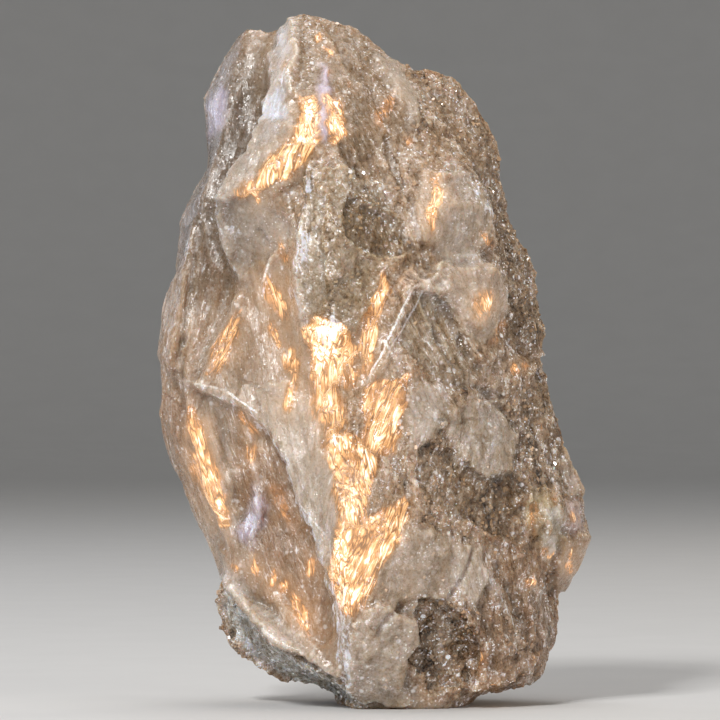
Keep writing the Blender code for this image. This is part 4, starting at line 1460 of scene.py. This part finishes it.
class OBJECT_OT_crust_crystals(bpy.types.Operator):
    """Set small angular crystals into the granular parts of the stone"""

    bl_idname = "object.crust_crystals"
    bl_label = "Crust Crystals"

    def execute(self, context):
        sizes = stone_sizes()
        lump = bpy.data.objects.get("stone_lump")
        if lump is None:
            raise RuntimeError("The crystals need the stone lump first")
        corners, faces = self.model_one()
        mesh = lump.data
        points, normals = points_of(mesh), normals_of(mesh)
        tint = read_all(mesh.attributes["tint"].data, "color", 4)[:, :3]
        grain = read_all(mesh.attributes["grain"].data, "value")
        glow = read_all(mesh.attributes["glow"].data, "value")
        # more where it is granular, none in the glow of a flash and round the foot
        chances = np.clip(grain - SMOOTH_GRAIN, 0.0, 1.0) * smooth_step(0.4, 0.0, glow)
        chances[points[:, 2] < CRYSTAL_FREE] = 0.0
        draw = random.Random(7)
        seats = draw.choices(range(len(points)), weights=chances.tolist(), k=sizes.crystals)
        all_points, all_faces, tints, sparks = [], [], [], []
        for seat in seats:
            width = sizes.crystal_size / MM * draw.uniform(0.35, 1.1)
            turn = Euler([draw.uniform(0.0, math.tau) for _ in range(3)]).to_matrix()
            stretch = np.array([draw.uniform(0.6, 1.4) for _ in range(3)])
            placed = (corners * stretch * width) @ np.array(turn).T
            placed += points[seat] - normals[seat] * SEAT_DEPTH * width
            first = len(all_points) * len(corners)
            all_points.append(placed)
            all_faces.extend(tuple(first + corner for corner in face) for face in faces)
            share = draw.uniform(0.6, 1.5)
            tints.append(np.tile(np.clip(tint[seat] * share, 0.0, 0.85), (len(corners), 1)))
            sparks.append(np.full(len(corners), draw.random() ** 6))  # few glow with a painted glint
        crust = bpy.data.meshes.new("crust_crystals")
        crust.from_pydata((np.concatenate(all_points) * MM).tolist(), [], all_faces)
        crust.update()
        keep(crust, "tint", with_alpha(np.concatenate(tints)))
        keep(crust, "spark", np.concatenate(sparks))
        crust.materials.append(crystal_material("crust_crystal"))
        thing = bpy.data.objects.new("crust_crystals", crust)
        context.collection.objects.link(thing)
        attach(thing, "root")
        return {"FINISHED"}

    def model_one(self):
        """Model a blocky crystal with its corners cut off; return its points and faces."""
        bpy.ops.object.select_all(action="DESELECT")
        bpy.ops.mesh.primitive_cube_add(size=0.8 * MM)
        crystal = bpy.context.object
        apply_modifier(crystal, "BEVEL", affect="VERTICES", width=0.2 * MM, segments=1)
        corners = points_of(crystal.data)
        faces = [tuple(face.vertices) for face in crystal.data.polygons]
        bpy.data.objects.remove(crystal)
        return corners, faces


# ==== stage
STONE_MIDDLE = 55.0 * MM  # height that the lights and the camera look at
WARM_WHITE = (1.0, 0.985, 0.96)

# name, place, width, power, colour
SOFT_LIGHTS = [
    ("key", (-0.4, -0.77, 0.75), 0.25, 8.0, WARM_WHITE),
    ("fill", (0.8, -0.7, 0.35), 0.6, 2.0, (1.0, 0.93, 0.83)),
    ("sparkle", (-0.35, -0.95, 0.85), 0.07, 2.5, (1.0, 1.0, 1.0)),
    ("top", (0.0, 0.1, 1.1), 0.6, 4.0, (1.0, 1.0, 1.0)),
    ("rim_right", (0.7, 0.6, 0.4), 0.4, 1.1, (1.0, 0.8, 0.58)),
    ("rim_left", (-0.7, 0.6, 0.35), 0.4, 1.1, (0.78, 0.85, 1.0)),
]


def floor_material():
    """Pale matte paper."""
    material, tree = new_material("pale_paper")
    fibres = cloudy(add_node(tree, "TexCoord", {})["Object"], 60.0, detail=4.0)["Fac"]
    darker, lighter = rgba([0.58] * 3), rgba([0.62] * 3)
    return finish_material(material, {
        "Base Color": blend(fibres, darker, lighter), "Roughness": 0.9})


class SCENE_OT_stone_stage(bpy.types.Operator):
    """Set up the pale floor, the soft lights and the camera"""

    bl_idname = "scene.stone_stage"
    bl_label = "Stone Stage"

    def execute(self, context):
        stage = context.scene.stage_sizes
        self.floor(stage.floor_radius)
        for name, place, width, power, colour in SOFT_LIGHTS:
            self.soft_light(name, place, width, power, colour)
        self.world(context.scene)
        self.camera(stage.camera_distance)
        return {"FINISHED"}

    def floor(self, radius, sweep=0.8, wall=1.2, steps=8):
        """A round floor whose edge sweeps up into a wall all the way round."""
        bpy.ops.object.select_all(action="DESELECT")
        bpy.ops.mesh.primitive_circle_add(vertices=96, radius=radius, fill_type="NGON")
        floor = bpy.context.object
        floor.name = "floor"
        bpy.ops.object.mode_set(mode="EDIT")
        bpy.ops.mesh.select_mode(type="EDGE")
        bpy.ops.mesh.select_all(action="SELECT")
        out, up = radius, 0.0
        for step in range(1, steps + 1):
            angle = math.pi / 2.0 * step / steps
            next_out = radius + sweep * math.sin(angle)
            next_up = sweep * (1.0 - math.cos(angle))
            bpy.ops.mesh.extrude_edges_move(
                TRANSFORM_OT_translate={"value": (0.0, 0.0, next_up - up)})
            bpy.ops.transform.resize(value=(next_out / out, next_out / out, 1.0))
            out, up = next_out, next_up
        bpy.ops.mesh.extrude_edges_move(TRANSFORM_OT_translate={"value": (0.0, 0.0, wall)})
        bpy.ops.object.mode_set(mode="OBJECT")
        bpy.ops.object.shade_smooth()
        floor.data.materials.append(floor_material())

    def soft_light(self, name, place, width, power, colour):
        """One large soft light that looks at the middle of the stone."""
        bpy.ops.object.select_all(action="DESELECT")
        bpy.ops.object.light_add(type="AREA", location=place)
        lamp = bpy.context.object
        lamp.name = name
        lamp.data.shape = "SQUARE"
        lamp.data.size = width
        lamp.data.energy = power
        lamp.data.color = colour
        aim = Vector((0.0, 0.0, STONE_MIDDLE)) - Vector(place)
        lamp.rotation_euler = aim.to_track_quat("-Z", "Y").to_euler()

    def world(self, scene):
        """Even faint light from all round."""
        scene.world = bpy.data.worlds.new("studio")
        scene.world.use_nodes = True
        background = scene.world.node_tree.nodes["Background"]
        background.inputs["Color"].default_value = rgba(WARM_WHITE)
        background.inputs["Strength"].default_value = 0.24
        scene.view_settings.view_transform = "Standard"

    def camera(self, distance, aside=-2.2 * MM, picture_width=115.2 * MM, film_width=36.0):
        """A long lens, level with the middle of the stone."""
        bpy.ops.object.select_all(action="DESELECT")
        bpy.ops.object.camera_add(
            location=(aside, -distance, STONE_MIDDLE), rotation=(math.pi / 2.0, 0.0, 0.0))
        camera = bpy.context.object
        camera.name = "camera"
        camera.data.sensor_width = film_width
        camera.data.lens = film_width * distance / picture_width
        bpy.context.scene.camera = camera


# ==== panel and start
OPERATORS = (OBJECT_OT_stone_lump, OBJECT_OT_crust_crystals, SCENE_OT_stone_stage)
SETTINGS = {"stone_sizes": StoneSizes, "stone_colours": StoneColours, "stage_sizes": StageSizes}


class VIEW3D_PT_stone(bpy.types.Panel):
    """Lists the stone's pieces, sizes and colours"""

    bl_label = "Sphalerite Specimen"
    bl_idname = "VIEW3D_PT_stone"
    bl_space_type = "VIEW_3D"
    bl_region_type = "UI"
    bl_category = "Specimen"

    def draw(self, context):
        for group in SETTINGS:
            settings = getattr(context.scene, group)
            box = self.layout.box()
            for name in settings.bl_rna.properties.keys():
                if name not in ("rna_type", "name"):
                    box.prop(settings, name)
        for operator in OPERATORS:
            self.layout.operator(operator.bl_idname)


CLASSES = (*SETTINGS.values(), *OPERATORS, VIEW3D_PT_stone)


def register():
    """Add the classes and the scene's settings."""
    for cls in CLASSES:
        bpy.utils.register_class(cls)
    for name, group in SETTINGS.items():
        setattr(bpy.types.Scene, name, bpy.props.PointerProperty(type=group))


def unregister():
    """Remove the scene's settings and the classes."""
    for name in SETTINGS:
        delattr(bpy.types.Scene, name)
    for cls in reversed(CLASSES):
        bpy.utils.unregister_class(cls)


def main():
    """Build the specimen and its stage."""
    register()
    bpy.ops.object.stone_lump()
    bpy.ops.object.crust_crystals()
    bpy.ops.scene.stone_stage()


if __name__ == "__main__":
    main()
